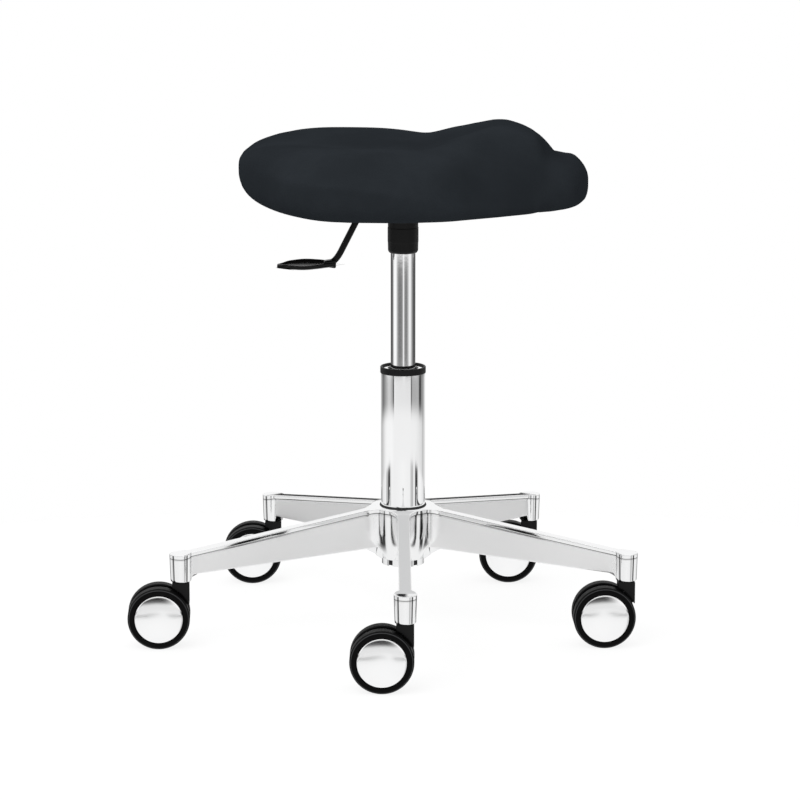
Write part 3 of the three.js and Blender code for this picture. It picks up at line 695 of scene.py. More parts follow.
def seat_skin():
    """A globe drawn onto the saddle's surfaces."""
    form = SeatForm(settings().seat)
    bm = bmesh.new()
    bmesh.ops.create_uvsphere(bm, u_segments=160, v_segments=112, radius=1)
    for vert in bm.verts:
        share = min(math.hypot(vert.co.x, vert.co.y), 1.0)
        turn = math.atan2(vert.co.y, vert.co.x) / TURN - 0.5
        x, y = form.outline(turn)
        height = form.over(x, y, share) if vert.co.z >= 0 else form.under(x, y, share)
        vert.co = Vector((x * share, y * share, height)) + COLUMN
    bmesh.ops.recalc_face_normals(bm, faces=bm.faces)
    return bm


def applied(thing):
    """Leaves a thing with the mesh that its modifiers make."""
    graph = bpy.context.evaluated_depsgraph_get()
    mesh = bpy.data.meshes.new_from_object(thing.evaluated_get(graph))
    thing.modifiers.clear()
    old, thing.data = thing.data, mesh
    bpy.data.meshes.remove(old)


def swell(thing, limit, board_edge):
    """Lets the padding push its cover out, held where the board carries it."""
    for vert in thing.data.vertices:
        vert.co -= vert.normal * limit * 0.5
    held = thing.vertex_groups.new(name="held")
    grip = [v.index for v in thing.data.vertices if v.normal.z < -0.3 and v.co.z < board_edge]
    held.add(grip, 1.0, "REPLACE")
    before = [(v.co.copy(), v.normal.copy()) for v in thing.data.vertices]
    cloth = thing.modifiers.new("cover", "CLOTH")
    cloth.settings.use_pressure = True
    cloth.settings.uniform_pressure_force = 4
    cloth.settings.effector_weights.gravity = 0
    cloth.settings.vertex_group_mass = "held"
    cloth.settings.quality = 5
    cloth.point_cache.frame_start = 1
    cloth.point_cache.frame_end = 20
    for number in range(1, 21):
        bpy.context.scene.frame_set(number)
    applied(thing)
    bpy.context.scene.frame_set(1)
    push = [(v.co - start).dot(normal) for v, (start, normal) in zip(thing.data.vertices, before)]
    push = [min(max(amount, -limit), limit) for amount in push]
    carried = set(grip)
    free = [amount for index, amount in enumerate(push) if index not in carried]
    level = sum(free) / len(free)
    push = [0 if index in carried else amount - level for index, amount in enumerate(push)]
    for vert, (start, normal), amount in zip(thing.data.vertices, before, evened(push, thing.data, 12)):
        vert.co = start + normal * (limit * 0.5 + amount)


def evened(values, mesh, rounds):
    """Evens out a value at each vertex with its neighbours' values."""
    beside = [[] for _ in values]
    for edge in mesh.edges:
        first, second = edge.vertices
        beside[first].append(second)
        beside[second].append(first)
    for _ in range(rounds):
        values = [(values[i] + sum(values[j] for j in near)) / (1 + len(near)) for i, near in enumerate(beside)]
    return values


def padded_seat():
    mesh = bpy.data.meshes.new("seat")
    bm = seat_skin()
    bm.to_mesh(mesh)
    bm.free()
    thing = bpy.data.objects.new("seat", mesh)
    bpy.context.scene.collection.objects.link(thing)
    voxels = thing.modifiers.new("even", "REMESH")
    voxels.mode = "VOXEL"
    voxels.voxel_size = 0.005
    applied(thing)
    swell(thing, settings().seat.swell, high("seat_shell").z + 6 * MM)
    smoother = thing.modifiers.new("smooth", "SUBSURF")
    smoother.levels = smoother.render_levels = 1
    applied(thing)
    settled(thing, "seat_cover", "seat_frame", "seat_cushion", sharp=180, weighted=False)
    return thing


# Star base


class StarPlan:
    """Half of one arm's sector, as rows of points from the caster socket to the hub."""

    socket_steps = 22
    near_steps = (0.6, 1.4, 2.6, 4.2)
    arm_steps = 34
    fillet_steps = 14
    hub_steps = 7
    socket_radii = (12.5 * MM, 11.5 * MM)
    bore_radius = 6 * MM
    pocket_half = 2.5 * MM
    arm_root = 26 * MM
    hub_rise = 36.8 * MM
    tip_depth = 26 * MM
    root_depth = 47 * MM
    hub_bottom = HUB_TOP - 61 * MM
    tube_bore = 25.5 * MM

    def __init__(self, base):
        self.base = base
        self.hub_radius = smooth_curve(
            [0, 28 * MM, 44 * MM, 54 * MM, 61 * MM], [36 * MM, 35 * MM, 32.4 * MM, 28.6 * MM, 25 * MM]
        )

    def line(self, x):
        """Height of the arm's straight top line."""
        return HUB_TOP - self.hub_rise * (x - self.arm_root) / (self.base.reach - self.arm_root)

    def top(self, x):
        fall = (HUB_TOP - self.line(max(x, self.arm_root))) * smoothstep(28 * MM, 46 * MM, x)
        flat = HUB_TOP - self.hub_rise
        return lerp(HUB_TOP - fall, flat, smoothstep(-8 * MM, 6 * MM, x - self.base.reach))

    def underside(self, x):
        tip = self.base.reach - self.socket_radii[0]
        start, end = HUB_TOP - self.root_depth, self.line(tip) - self.tip_depth
        return lerp(start, end, (x - 36 * MM) / (tip - 36 * MM))

    def sections(self):
        """Section letter and step of every column of points."""
        yield from (("socket", j / self.socket_steps) for j in range(self.socket_steps + 1))
        yield from (("near", j) for j in range(len(self.near_steps)))
        yield from (("arm", (j + 1) / self.arm_steps) for j in range(self.arm_steps))
        yield from (("fillet", (j + 1) / self.fillet_steps) for j in range(self.fillet_steps))
        yield from (("hub", (j + 1) / self.hub_steps) for j in range(self.hub_steps))

    def point(self, section, step, half, socket, hub, inset):
        """Plan point of a column for a row's half width and radii."""
        reach = self.base.reach
        rho = self.base.fillet * lerp(0.62, 1.0, (hub - 25 * MM) / (11 * MM))
        last = math.pi - math.asin(half / socket)
        joint = reach + socket * math.cos(last)
        across = math.sqrt((hub + rho) ** 2 - (half + rho) ** 2)
        meets = math.atan2(half + rho, across)
        if section == "socket":
            return reach + (socket - inset) * math.cos(last * step), (socket - inset) * math.sin(last * step)
        if section == "near":
            return joint - self.near_steps[step] * MM, half - inset
        if section == "arm":
            return lerp(joint - self.near_steps[-1] * MM, across, step), half - inset
        if section == "fillet":
            angle = lerp(-math.pi / 2, meets - math.pi, step)
            return across + (rho + inset) * math.cos(angle), half + rho + (rho + inset) * math.sin(angle)
        angle = lerp(meets, math.pi / ARM_COUNT, step)
        return (hub - inset) * math.cos(angle), (hub - inset) * math.sin(angle)

    def heights(self, section, step, x):
        """Top and bottom of a column's side."""
        if section == "socket":
            return self.top(x), SOCKET_BOTTOM
        if section == "near":
            share = smoothstep(0, 1, (step + 1) / len(self.near_steps))
            return self.top(x), lerp(SOCKET_BOTTOM, self.underside(x), share)
        if section == "arm":
            return self.top(x), self.underside(x)
        if section == "fillet":
            share = smoothstep(0.1, 0.95, step)
            return self.top(x), lerp(self.underside(max(x, 36 * MM)), self.hub_bottom, share)
        return self.top(x), self.hub_bottom

    def rows(self):
        """Inset, what the height is measured from, how far, and the half width, downwards."""
        base = self.base
        edge, under = base.edge, 1.2 * MM
        for angle in (0, 18, 36, 54, 72, 90):
            a = math.radians(angle)
            yield edge * (1 - math.sin(a)), "top", edge * (1 - math.cos(a)), base.arm_half
        yield 0, "top", base.strip - 0.8 * MM, base.arm_half
        yield 0, "top", base.strip - 0.35 * MM, base.arm_half - 0.05 * MM
        yield 0, "top", base.strip - 0.1 * MM, base.arm_half - 0.3 * MM
        yield 0, "top", base.strip + 0.05 * MM, base.web_half + 0.45 * MM
        yield 0, "top", base.strip + 0.35 * MM, base.web_half + 0.12 * MM
        for share in (0, 0.06, 0.16, 0.28, 0.4, 0.52, 0.63, 0.73, 0.82, 0.89, 0.95, 1):
            yield 0, "side", share, base.web_half + base.draft * share
        for angle in (22, 45, 68, 90):
            a = math.radians(angle)
            yield under * (1 - math.cos(a)), "bottom", under * (1 - math.sin(a)), base.web_half + base.draft

    def level(self, kind, amount, top, bottom):
        if kind == "top":
            return top - amount
        if kind == "side":
            return lerp(top - self.base.strip - 1.2 * MM, bottom + 1.2 * MM, amount)
        return bottom + amount

    def spine(self, section, step, x, bore):
        """The partner on the arm's centre line, or on the rim of the hub's bore."""
        columns = self.fillet_steps // 2
        if section in ("socket", "near", "arm"):
            return x, 0.0
        done = round(step * (self.fillet_steps if section == "fillet" else self.hub_steps))
        if section == "fillet" and done <= columns:
            start = math.sqrt((36 * MM + self.base.fillet) ** 2 - (self.base.arm_half + self.base.fillet) ** 2)
            return lerp(start, bore, done / columns), 0.0
        beyond = done - columns if section == "fillet" else done + self.fillet_steps - columns
        total = self.fillet_steps - columns + self.hub_steps
        angle = beyond / total * math.pi / ARM_COUNT
        return bore * math.cos(angle), bore * math.sin(angle)

    def side_rows(self):
        """Every row as a list of points from the socket's tip to the middle between two arms."""
        for inset, kind, amount, half in self.rows():
            at_hub = self.level(kind, amount, HUB_TOP, self.hub_bottom)
            at_tip = self.level(kind, amount, HUB_TOP - self.hub_rise, SOCKET_BOTTOM)
            hub = self.hub_radius(HUB_TOP - at_hub)
            fall = (HUB_TOP - self.hub_rise - at_tip) / (HUB_TOP - self.hub_rise - SOCKET_BOTTOM)
            socket = lerp(*self.socket_radii, fall)
            row = []
            for section, step in self.sections():
                x, y = self.point(section, step, half, socket, hub, inset)
                top, bottom = self.heights(section, step, x)
                row.append(Vector((x, y, self.level(kind, amount, top, bottom))))
            yield row

    def top_rows(self, rim):
        """The top face, from the centre line out to the rounded edge."""
        for share in (0, 0.25, 0.5, 0.75, 0.92):
            row = []
            for (section, step), outer in zip(self.sections(), rim):
                x, y = self.spine(section, step, outer.x, self.tube_bore)
                inner = Vector((x, y, 0))
                spot = inner.lerp(Vector((outer.x, outer.y, 0)), share)
                dome = self.base.crown * (1 - share * share) * (1 - smoothstep(-16 * MM, 0, x - self.base.reach))
                dome *= smoothstep(30 * MM, 60 * MM, x)
                spot.z = self.top(spot.x) + dome
                row.append(spot)
            yield row

    def bottom_rows(self, rim):
        """The underside, to the stem's bore, the arm's hollow and the hub's bore."""
        line, centre = [], []
        reach = self.base.reach
        bore = 23.4 * MM
        last = math.pi - math.asin((self.base.web_half + self.base.draft) / self.socket_radii[1])
        for (section, step), outer in zip(self.sections(), rim):
            if section in ("socket", "near"):
                turn = last * step if section == "socket" else lerp(last, math.pi, (step + 1) / len(self.near_steps))
                spot = Vector((reach + self.bore_radius * math.cos(turn), self.bore_radius * math.sin(turn), SOCKET_BOTTOM))
                closes = section == "near" and step == len(self.near_steps) - 1
                line.append(spot)
                centre.append(spot.copy() if closes else Vector((reach, 0, SOCKET_BOTTOM)))
                continue
            x, y = self.spine(section, step, outer.x, bore)
            at_bore = math.hypot(x, y) <= bore + 0.01 * MM
            height = lerp(self.hub_bottom, self.underside(max(x, 36 * MM)), smoothstep(26 * MM, 42 * MM, x))
            line.append(Vector((x, y if at_bore else self.pocket_half, height)))
            centre.append(Vector((x, y, height)))
        yield line
        yield centre

    def all_rows(self):
        side = list(self.side_rows())
        return [*self.top_rows(side[0]), *side, *self.bottom_rows(side[-1])]

    def marks(self):
        """How much painted shade darkens the step under the upper strip, and how satin a side is, at each row and
        column of points.
        """
        # Rows 13 to 16 are the step under the upper strip; their value paints shade into the metal's colour there.
        painted_shade_rows = {13: 0.5, 14: 1.0, 15: 1.0, 16: 0.25}
        side_rows = range(17, 30)
        for row in range(34):
            line = []
            for section, step in self.sections():
                corner = painted_shade_rows.get(row, 0.0) * {"socket": 0.8}.get(section, 1.0)
                satin = {"arm": 1.0, "near": 0.5, "fillet": 1 - step if section == "fillet" else 0.0}.get(section, 0.0)
                line.append((corner, satin if row in side_rows else 0.0))
            yield line


def raised(bm, inside, height):
    """Pushes the underside's faces whose middles pass a test up to a height over each point."""
    faces = [face for face in bm.faces if face.normal.z < -0.5 and inside(face.calc_center_median())]
    grown = bmesh.ops.extrude_face_region(bm, geom=faces)["geom"]
    for part in grown:
        if isinstance(part, bmesh.types.BMVert):
            part.co.z = height(part.co)


def star_casting():
    plan = StarPlan(settings().base)
    rows = plan.all_rows()
    columns = len(rows[0])
    bm = bmesh.new()
    bmesh.ops.create_grid(bm, x_segments=columns - 1, y_segments=len(rows) - 1, size=1)
    # The corner layer carries painted shade for the step under the upper strip; the satin layer marks the arm sides.
    bm.verts.layers.float.new("corner")
    bm.verts.layers.float.new("satin")
    corner, satin = bm.verts.layers.float["corner"], bm.verts.layers.float["satin"]
    ordered = sorted(bm.verts, key=lambda v: (round(v.co.y, 5), round(v.co.x, 5)))
    marks = list(plan.marks())
    for number, vert in enumerate(ordered):
        row, column = divmod(number, columns)
        vert.co = rows[row][column]
        vert[corner], vert[satin] = marks[row][column]
    bmesh.ops.remove_doubles(bm, verts=bm.verts, dist=1e-6)
    bmesh.ops.mirror(bm, geom=bm.verts[:] + bm.edges[:] + bm.faces[:], merge_dist=1e-6, axis="Y")
    closed_up(bm)
    reach = plan.base.reach
    near, far = 44 * MM, reach - plan.socket_radii[0] - 4 * MM
    raised(
        bm,
        lambda c: near < c.x < far and abs(c.y) < plan.pocket_half,
        lambda c: plan.line(c.x) - 9 * MM,
    )
    raised(
        bm,
        lambda c: math.hypot(c.x - reach, c.y) < plan.bore_radius and c.z < SOCKET_BOTTOM + MM,
        lambda c: SOCKET_BOTTOM + 26.3 * MM,
    )
    bmesh.ops.spin(
        bm,
        geom=bm.verts[:] + bm.edges[:] + bm.faces[:],
        cent=(0, 0, 0),
        axis=UP,
        angle=TURN * (ARM_COUNT - 1) / ARM_COUNT,
        steps=ARM_COUNT - 1,
        use_duplicate=True,
    )
    bmesh.ops.remove_doubles(bm, verts=bm.verts, dist=2e-6)
    rims = [edge for edge in bm.edges if edge.is_boundary]
    bmesh.ops.bridge_loops(bm, edges=rims)
    bmesh.ops.recalc_face_normals(bm, faces=bm.faces)
    return add_in(bm, collar_blocks(plan.hub_bottom))


def collar_blocks(top):
    """Five arc-shaped blocks under the hub, with a notch between each two."""
    bm = bmesh.new()
    corners = [(23.05, 0, 0), (24, 0, 0.35), (24, 7.4, 0), (23.05, 7.4, 0)]
    rounded_wire(bm, in_mm(corners), closed=True)
    bmesh.ops.contextual_create(bm, geom=bm.edges)
    notch = 5 / 24
    sweep = TURN / ARM_COUNT - notch
    bmesh.ops.spin(bm, geom=bm.verts[:] + bm.edges[:] + bm.faces[:], axis=UP, angle=sweep, steps=14)
    bmesh.ops.recalc_face_normals(bm, faces=bm.faces)
    everything = bm.verts[:] + bm.edges[:] + bm.faces[:]
    around = TURN * (ARM_COUNT - 1) / ARM_COUNT
    bmesh.ops.spin(bm, geom=everything, axis=UP, angle=around, steps=ARM_COUNT - 1, use_duplicate=True)
    turn = Matrix.Rotation(-sweep / 2, 4, "Z")
    return moved(bm, Matrix.Translation((0, 0, COLLAR_BOTTOM)) @ turn)


# Column


def column_pieces():
    column = settings().column
    at = Matrix.Translation(COLUMN)
    foot, top = low("column_tube").z / MM, high("column_tube").z / MM
    hub = HUB_TOP / MM
    radius = column.tube_radius / MM
    tube = [
        (4.3, foot, 0),
        (22.6, foot, 0.5),
        (radius, hub, 0),
        (radius, top, 0.5),
        (radius - 1.6, top, 0.3),
        (radius - 1.6, hub, 0),
        (21, foot + 3, 0.6),
        (4.3, foot + 3, 0),
    ]
    piece("column_outer_tube", moved(lathe(in_mm(tube), 144, closed=True), at), "polished_tube", "base", "column_tube")
    bead = [(radius - 0.2, hub - 0.6, 0), (radius + 1.7, hub - 0.2, 0.2), (radius + 1.1, hub + 1.1, 0.4), (radius - 0.2, hub + 1.7, 0)]
    piece("tube_foot_bead", moved(lathe(in_mm(bead), 96, closed=True), at), "black_rubber", "base")
    inner = (20.4, 22.9)
    low_end = COLLAR_BOTTOM / MM
    sleeve = [(inner[0], low_end + 1, 0), (inner[1], low_end + 1, 0.2), (inner[1], low_end + 8, 0), (inner[0], low_end + 8, 0)]
    piece("collar_sleeve", moved(lathe(in_mm(sleeve), 96, closed=True), at), "black_rubber", "base")
    ring_top = high("column_ring").z / MM
    rim = column.ring_radius / MM
    ring = [
        (radius + 0.3, top - 3.2, 0.2),
        (rim, top - 3.2, 0.3),
        (rim, ring_top, 0.9),
        (rim - 2.2, ring_top, 0.5),
        (rim - 3.0, ring_top - 2.6, 0.3),
        (16.4, ring_top - 2.6, 0),
        (15.2, ring_top - 3.2, 0.3),
        (15.2, top + 0.3, 0),
        (radius + 0.3, top + 0.3, 0),
    ]
    piece("column_top_ring", moved(lathe(in_mm(ring), 128, closed=True), at), "black_plastic", "base", "column_ring")
    washer = [(17.4, ring_top - 2.6, 0), (21.6, ring_top - 2.6, 0), (21.6, ring_top - 2, 0.2), (17.4, ring_top - 2, 0.2)]
    piece("column_washer", moved(lathe(in_mm(washer), 96, closed=True), at), "bright_chrome", "base")
    socket_pieces(column, at)


def socket_pieces(column, at):
    mouth, socket_top = low("seat_socket").z / MM, high("seat_socket").z / MM
    bottom, top = low("gas_cylinder").z / MM, high("gas_cylinder").z / MM
    inner = column.cylinder_radius / MM
    pin = (low("release_pin").z / MM) - 4.2
    cavity = bottom + 166
    cylinder = [
        (0, cavity, 0),
        (inner - 1.8, cavity, 0.8),
        (inner - 1.8, bottom + 8, 0.4),
        (5.3, bottom + 8, 0),
        (5.3, bottom, 0.4),
        (inner, bottom, 1),
        (inner, mouth, 0),
        (inner - 0.8, top, 0.4),
        (3.3, top, 0),
        (3.3, pin, 0),
        (0, pin, 0),
    ]
    piece("lift_cylinder", moved(lathe(in_mm(cylinder), 128), at), "bright_chrome", "seat_frame", "gas_cylinder")
    outer, rim = column.socket_radius / MM, column.rim_radius / MM
    socket = [
        (inner + 0.3, mouth, 0.2),
        (outer - 1.9, mouth, 0.7),
        (outer - 0.4, mouth + 2.4, 0.9),
        (outer - 0.2, mouth + 12, 0.2),
        (outer, mouth + 12.5, 0.2),
        (outer, socket_top - 12.6, 0.2),
        (outer - 0.3, socket_top - 12, 0.2),
        (outer - 0.3, socket_top - 5.8, 0.6),
        (rim, socket_top - 2.6, 0.5),
        (rim, socket_top, 0.4),
        (14.9, socket_top, 0),
        (14.9, top, 0),
        (inner - 0.5, top, 0),
    ]
    piece("seat_socket_cap", moved(lathe(in_mm(socket), 128, closed=True), at), "black_plastic", "seat_frame", "seat_socket")


# Parts under the seat


def rounded_plate(length, width, thickness, corner, edge, z):
    bm = bmesh.new()
    bmesh.ops.create_grid(bm, x_segments=1, y_segments=1, size=0.5)
    bmesh.ops.scale(bm, vec=(length, width, 1), verts=bm.verts)
    bmesh.ops.bevel(bm, geom=bm.verts[:], offset=corner, segments=8, profile=0.5, affect="VERTICES", material=-1)
    bmesh.ops.translate(bm, verts=bm.verts, vec=(0, 0, z + thickness / 2))
    return thickened(bm, Vector((0, 0, thickness)), edge)


def plate_piece():
    bottom, top = low("seat_plate").z, high("seat_plate").z
    floor = top - 3 * MM
    bm = rounded_plate(168 * MM, 128 * MM, 3 * MM, 14 * MM, 0.6 * MM, floor)
    half, wall = 15.7 * MM, 2.5 * MM
    channel = [
        (-half - wall, bottom, 1.6 * MM),
        (half + wall, bottom, 1.6 * MM),
        (half + wall, floor + 0.6 * MM, 0),
        (half, floor + 0.6 * MM, 0),
        (half, bottom + wall, 0.8 * MM),
        (-half, bottom + wall, 0.8 * MM),
        (-half, floor + 0.6 * MM, 0),
        (-half - wall, floor + 0.6 * MM, 0),
    ]
    across = Matrix.Translation((-6 * MM, 0, 0)) @ Matrix.Rotation(math.pi / 2, 4, "Z")
    add_in(bm, extruded(channel, 62 * MM, 0.4 * MM), across)
    for side in (-1, 1):
        rib = [
            (-62 * MM, floor - 2.2 * MM, 1 * MM),
            (62 * MM, floor - 2.2 * MM, 1 * MM),
            (66 * MM, floor + 0.5 * MM, 0),
            (-66 * MM, floor + 0.5 * MM, 0),
        ]
        add_in(bm, extruded(rib, 7 * MM, 1 * MM), Matrix.Translation((0, side * 36 * MM, 0)))
    return piece("seat_carrier", moved(bm, Matrix.Translation(COLUMN)), "black_steel", "seat_frame", "seat_plate")


def board_piece():
    form = SeatForm(settings().seat)
    bottom, top = low("seat_shell").z, high("seat_shell").z
    bm = bmesh.new()
    bmesh.ops.create_circle(bm, cap_ends=True, segments=144, radius=1)
    for vert in bm.verts:
        turn = math.atan2(vert.co.y, vert.co.x) / TURN - 0.5
        x, y = form.outline(turn)
        vert.co = Vector((x * BOARD_SHARE, y * BOARD_SHARE, (bottom + top) / 2)) + COLUMN
    bm = thickened(bm, Vector((0, 0, top - bottom)), 1.2 * MM)
    return piece("seat_board", bm, "seat_board", "seat_frame", "seat_shell")


# Lever


def rod_curve(radius):
    """The bent rod as a curve with round ends, in the X-Z plane."""
    pivot = middle("lever_rod")
    height = high("lever_rod").z - radius

    def at(back, drop):
        return Vector((COLUMN.x - back * MM, pivot.y, height - drop * MM))

    stops = [
        (at(5, 0), None, None),
        (at(38, 0), None, at(46.5, 0)),
        (at(50.5, 7.9), at(46.5, 0), None),
        (at(69, 44.4), None, at(76.3, 58.8)),
        (at(84, 58.8), at(76.3, 58.8), None),
    ]
    curve = bpy.data.curves.new("rod", "CURVE")
    curve.dimensions = "3D"
    curve.bevel_depth = radius
    curve.bevel_resolution = 10
    curve.resolution_u = 14
    curve.use_fill_caps = True
    spline = curve.splines.new("BEZIER")
    spline.bezier_points.add(len(stops) - 1)
    for index, (spot, before, after) in enumerate(stops):
        knot = spline.bezier_points[index]
        knot.handle_left_type = knot.handle_right_type = "FREE"
        knot.co = spot
        previous = stops[max(index - 1, 0)][0]
        following = stops[min(index + 1, len(stops) - 1)][0]
        knot.handle_left = spot.lerp(before, 2 / 3) if before else spot.lerp(previous, 1 / 3)
        knot.handle_right = spot.lerp(after, 2 / 3) if after else spot.lerp(following, 1 / 3)
    return curve


def rod_piece():
    lever = settings().lever
    holder = bpy.data.objects.new("rod", rod_curve(lever.rod_radius))
    bpy.context.scene.collection.objects.link(holder)
    mesh = bpy.data.meshes.new_from_object(holder)
    bpy.data.objects.remove(holder)
    bm = bmesh.new()
    bm.from_mesh(mesh)
    bpy.data.meshes.remove(mesh)
    closed_up(bm)
    pivot = [(0, -18.1, 0), (2.5, -18.1, 0.5), (2.5, 18.1, 0.5), (0, 18.1, 0)]
    height = high("lever_rod").z - lever.rod_radius
    place = Matrix.Translation((COLUMN.x - 24 * MM, COLUMN.y, height)) @ Matrix.Rotation(math.pi / 2, 4, "X")
    add_in(bm, lathe(in_mm(pivot), 32), place)
    return piece("lever_bent_rod", bm, "black_steel", "lever", "lever_rod", sharp=45)


def leaf_half(share, lever):
    """Half width of the leaf at a share of its length from the root."""
    return smooth_curve([0, 0.12, 0.3, 0.52, 0.75, 0.92, 1], [6, 7.4, 12, 15.5, 11.4, 4.2, 2.2])(share) * MM * (
        lever.leaf_width / (31 * MM)
    )


def paddle_piece():
    """A shallow tray with a raised rim, on a chunky knuckle that grips the rod."""
    lever = settings().lever
    bm = bmesh.new()
    bmesh.ops.create_grid(bm, x_segments=48, y_segments=20, size=1)
    for vert in bm.verts:
        share = (1 - vert.co.x) / 2
        across = math.sin(vert.co.y * math.pi / 2)
        rim = lever.leaf_rim * smoothstep(0.62, 0.98, abs(across)) * (1 - smoothstep(0.8, 1.0, share))
        sag = -1.6 * MM * math.sin(share * math.pi) * (1 - across * across)
        vert.co = Vector((-share * lever.leaf_length, across * leaf_half(share, lever), rim + sag))
    bmesh.ops.recalc_face_normals(bm, faces=bm.faces)
    bmesh.ops.solidify(bm, geom=bm.faces[:], thickness=lever.leaf_thickness)
    bmesh.ops.recalc_face_normals(bm, faces=bm.faces)
    edges = [e for e in bm.edges if e.calc_face_angle(0) > math.radians(50)]
    bmesh.ops.bevel(bm, geom=edges, offset=0.7 * MM, segments=2, profile=0.5, affect="EDGES", material=-1)
    tilt = Matrix.Rotation(-math.radians(1.5), 4, "Y") @ Matrix.Rotation(math.radians(7), 4, "X")
    moved(bm, Matrix.Translation((-1 * MM, 0, 0.4 * MM)) @ tilt)
    knuckle = bmesh.new()
    bmesh.ops.create_cube(knuckle, size=1)
    bmesh.ops.scale(knuckle, vec=(14 * MM, 11.4 * MM, 10.6 * MM), verts=knuckle.verts)
    for vert in knuckle.verts:
        if vert.co.x < 0:
            vert.co.z *= 0.62
            vert.co.y *= 1.05
    bmesh.ops.bevel(
        knuckle, geom=knuckle.edges[:], offset=2.2 * MM, segments=4, profile=0.5, affect="EDGES", material=-1
    )
    add_in(bm, knuckle, Matrix.Translation((-6 * MM, 0, -0.2 * MM)))
    height = high("lever_rod").z - lever.rod_radius - 58.8 * MM
    at = Matrix.Translation((COLUMN.x - 76 * MM, COLUMN.y, height))
    return piece("lever_leaf", moved(bm, at), "glossy_plastic", "lever", "lever_paddle", sharp=50)


# Casters


def swivel(name):
    """Where a caster stands, with its wheels behind it at local -X."""
    stem = middle(f"stem_{name}")
    wheels = (middle(f"wheel_{name}_near") + middle(f"wheel_{name}_far")) / 2
    back = wheels - stem
    heading = math.atan2(-back.y, -back.x)
    return Matrix.Translation((stem.x, stem.y, 0)) @ Matrix.Rotation(heading, 4, "Z")


TRAIL = 24.9 * MM
AXLE_HEIGHT = middle("wheel_front_near").z


def on_axle(bm, side):
    """Turns a shape made about Z onto the axle, outwards on one side."""
    turn = Matrix.Rotation(-side * math.pi / 2, 4, "X")
    return moved(bm, Matrix.Translation((-TRAIL, 0, AXLE_HEIGHT)) @ turn)


def wheel_shape(caster):
    radius, width = caster.wheel_radius / MM, caster.wheel_width / MM
    inner, outer = 4, 4 + width
    profile = [
        (4.3, inner, 0),
        (22, inner, 0.4),
        (23, inner + 0.5, 0.4),
        (radius - 2.4, inner + 0.5, 0.3),
        (radius - 1.2, inner, 0.5),
        (radius, inner + 1.6, 0.9),
        (radius, outer - 2.2, 1.3),
        (radius - 1.5, outer - 0.5, 0.7),
        (radius - 3.2, outer, 0.5),
        (28.4, outer, 0.35),
        (27.2, outer - 0.7, 0.3),
        (27.2, outer - 3, 0),
        (4.3, outer - 3, 0),
    ]
    bm = lathe(in_mm(profile), 112, closed=True)
    # Marks the edge of the shoulder for the painted highlight in the tread's colour.
    painted_shoulder_highlight = bm.verts.layers.float.new("painted_shoulder_highlight")
    for vert in bm.verts:
        from_edge = abs(math.hypot(vert.co.x, vert.co.y) / MM - (radius - 1.5)) + abs(vert.co.z / MM - (outer - 0.5))
        vert[painted_shoulder_highlight] = 1 - smoothstep(0.2, 0.9, from_edge)
    return bm


def cap_shape(caster):
    radius, face = caster.cap_radius / MM, 4 + caster.wheel_width / MM
    dome = caster.dome / MM
    profile = [(0, face - 2.7, 0), (radius, face - 2.7, 0.3), (radius, face + 0.1, 0.35), (radius - 0.75, face + 0.5, 0.35)]
    for share in (0.955, 0.925, 0.88, 0.82, 0.75, 0.66, 0.56, 0.45, 0.33, 0.2, 0.08):
        rise = 0.35 + (dome - 0.35) * (1 - share**2.5)
        profile.append((radius * share, face + rise, 0))
    profile.append((0, face + dome, 0))
    return lathe(in_mm(profile), 128)


def housing_shape(caster):
    """A thin disc between the wheels, with a broader head over them that takes the stem."""
    top = high("housing_front").z
    bm = bmesh.new()
    start = bm.verts.new((2.6 * MM + TRAIL, 0, 14.3 * MM))
    sweep = math.atan2(14.3, 27.5) + TURN - math.atan2(27.07, 15.1)
    bmesh.ops.spin(bm, geom=[start], axis=(0, 1, 0), angle=sweep, steps=64)
    bmesh.ops.translate(bm, verts=bm.verts, vec=(-TRAIL, 0, AXLE_HEIGHT))
    ends = [v for v in bm.verts if len(v.link_edges) == 1]
    first = max(ends, key=lambda v: v.co.x)
    last = min(ends, key=lambda v: v.co.x)
    corners = [(9.4 * MM, top - 25 * MM), (9.4 * MM, top), (-9.8 * MM, top)]
    chain = [first, *[bm.verts.new((x, 0, z)) for x, z in corners], last]
    for one, other in zip(chain, chain[1:]):
        bm.edges.new((one, other))
    for vert, offset in zip(chain[:4], (5, 4, 1.5, 1.5)):
        bmesh.ops.bevel(bm, geom=[vert], offset=offset * MM, segments=5, profile=0.5, affect="VERTICES", material=-1)
    bmesh.ops.contextual_create(bm, geom=bm.edges)
    thickened(bm, Vector((0, 7.2 * MM, 0)), 0.5 * MM)
    return add_in(bm, head_shape(caster, top))


def head_shape(caster, top):
    bm = bmesh.new()
    start = bm.verts.new((33.15 * MM, 0, 14.3 * MM))
    sweep = math.atan2(32.8, 15.1) - math.atan2(14.3, 33.15)
    bmesh.ops.spin(bm, geom=[start], axis=(0, 1, 0), angle=-sweep, steps=18)
    bmesh.ops.translate(bm, verts=bm.verts, vec=(-TRAIL, 0, AXLE_HEIGHT))
    ends = [v for v in bm.verts if len(v.link_edges) == 1]
    first, last = max(ends, key=lambda v: v.co.x), min(ends, key=lambda v: v.co.x)
    corners = [(9.4 * MM, AXLE_HEIGHT + 14.3 * MM), (9.4 * MM, top), (-9.8 * MM, top)]
    chain = [first, *[bm.verts.new((x, 0, z)) for x, z in corners], last]
    for one, other in zip(chain, chain[1:]):
        bm.edges.new((one, other))
    for vert in chain[2:4]:
        bmesh.ops.bevel(bm, geom=[vert], offset=1.5 * MM, segments=4, profile=0.5, affect="VERTICES", material=-1)
    bmesh.ops.contextual_create(bm, geom=bm.edges)
    return thickened(bm, Vector((0, caster.head_width, 0)), 0.9 * MM)


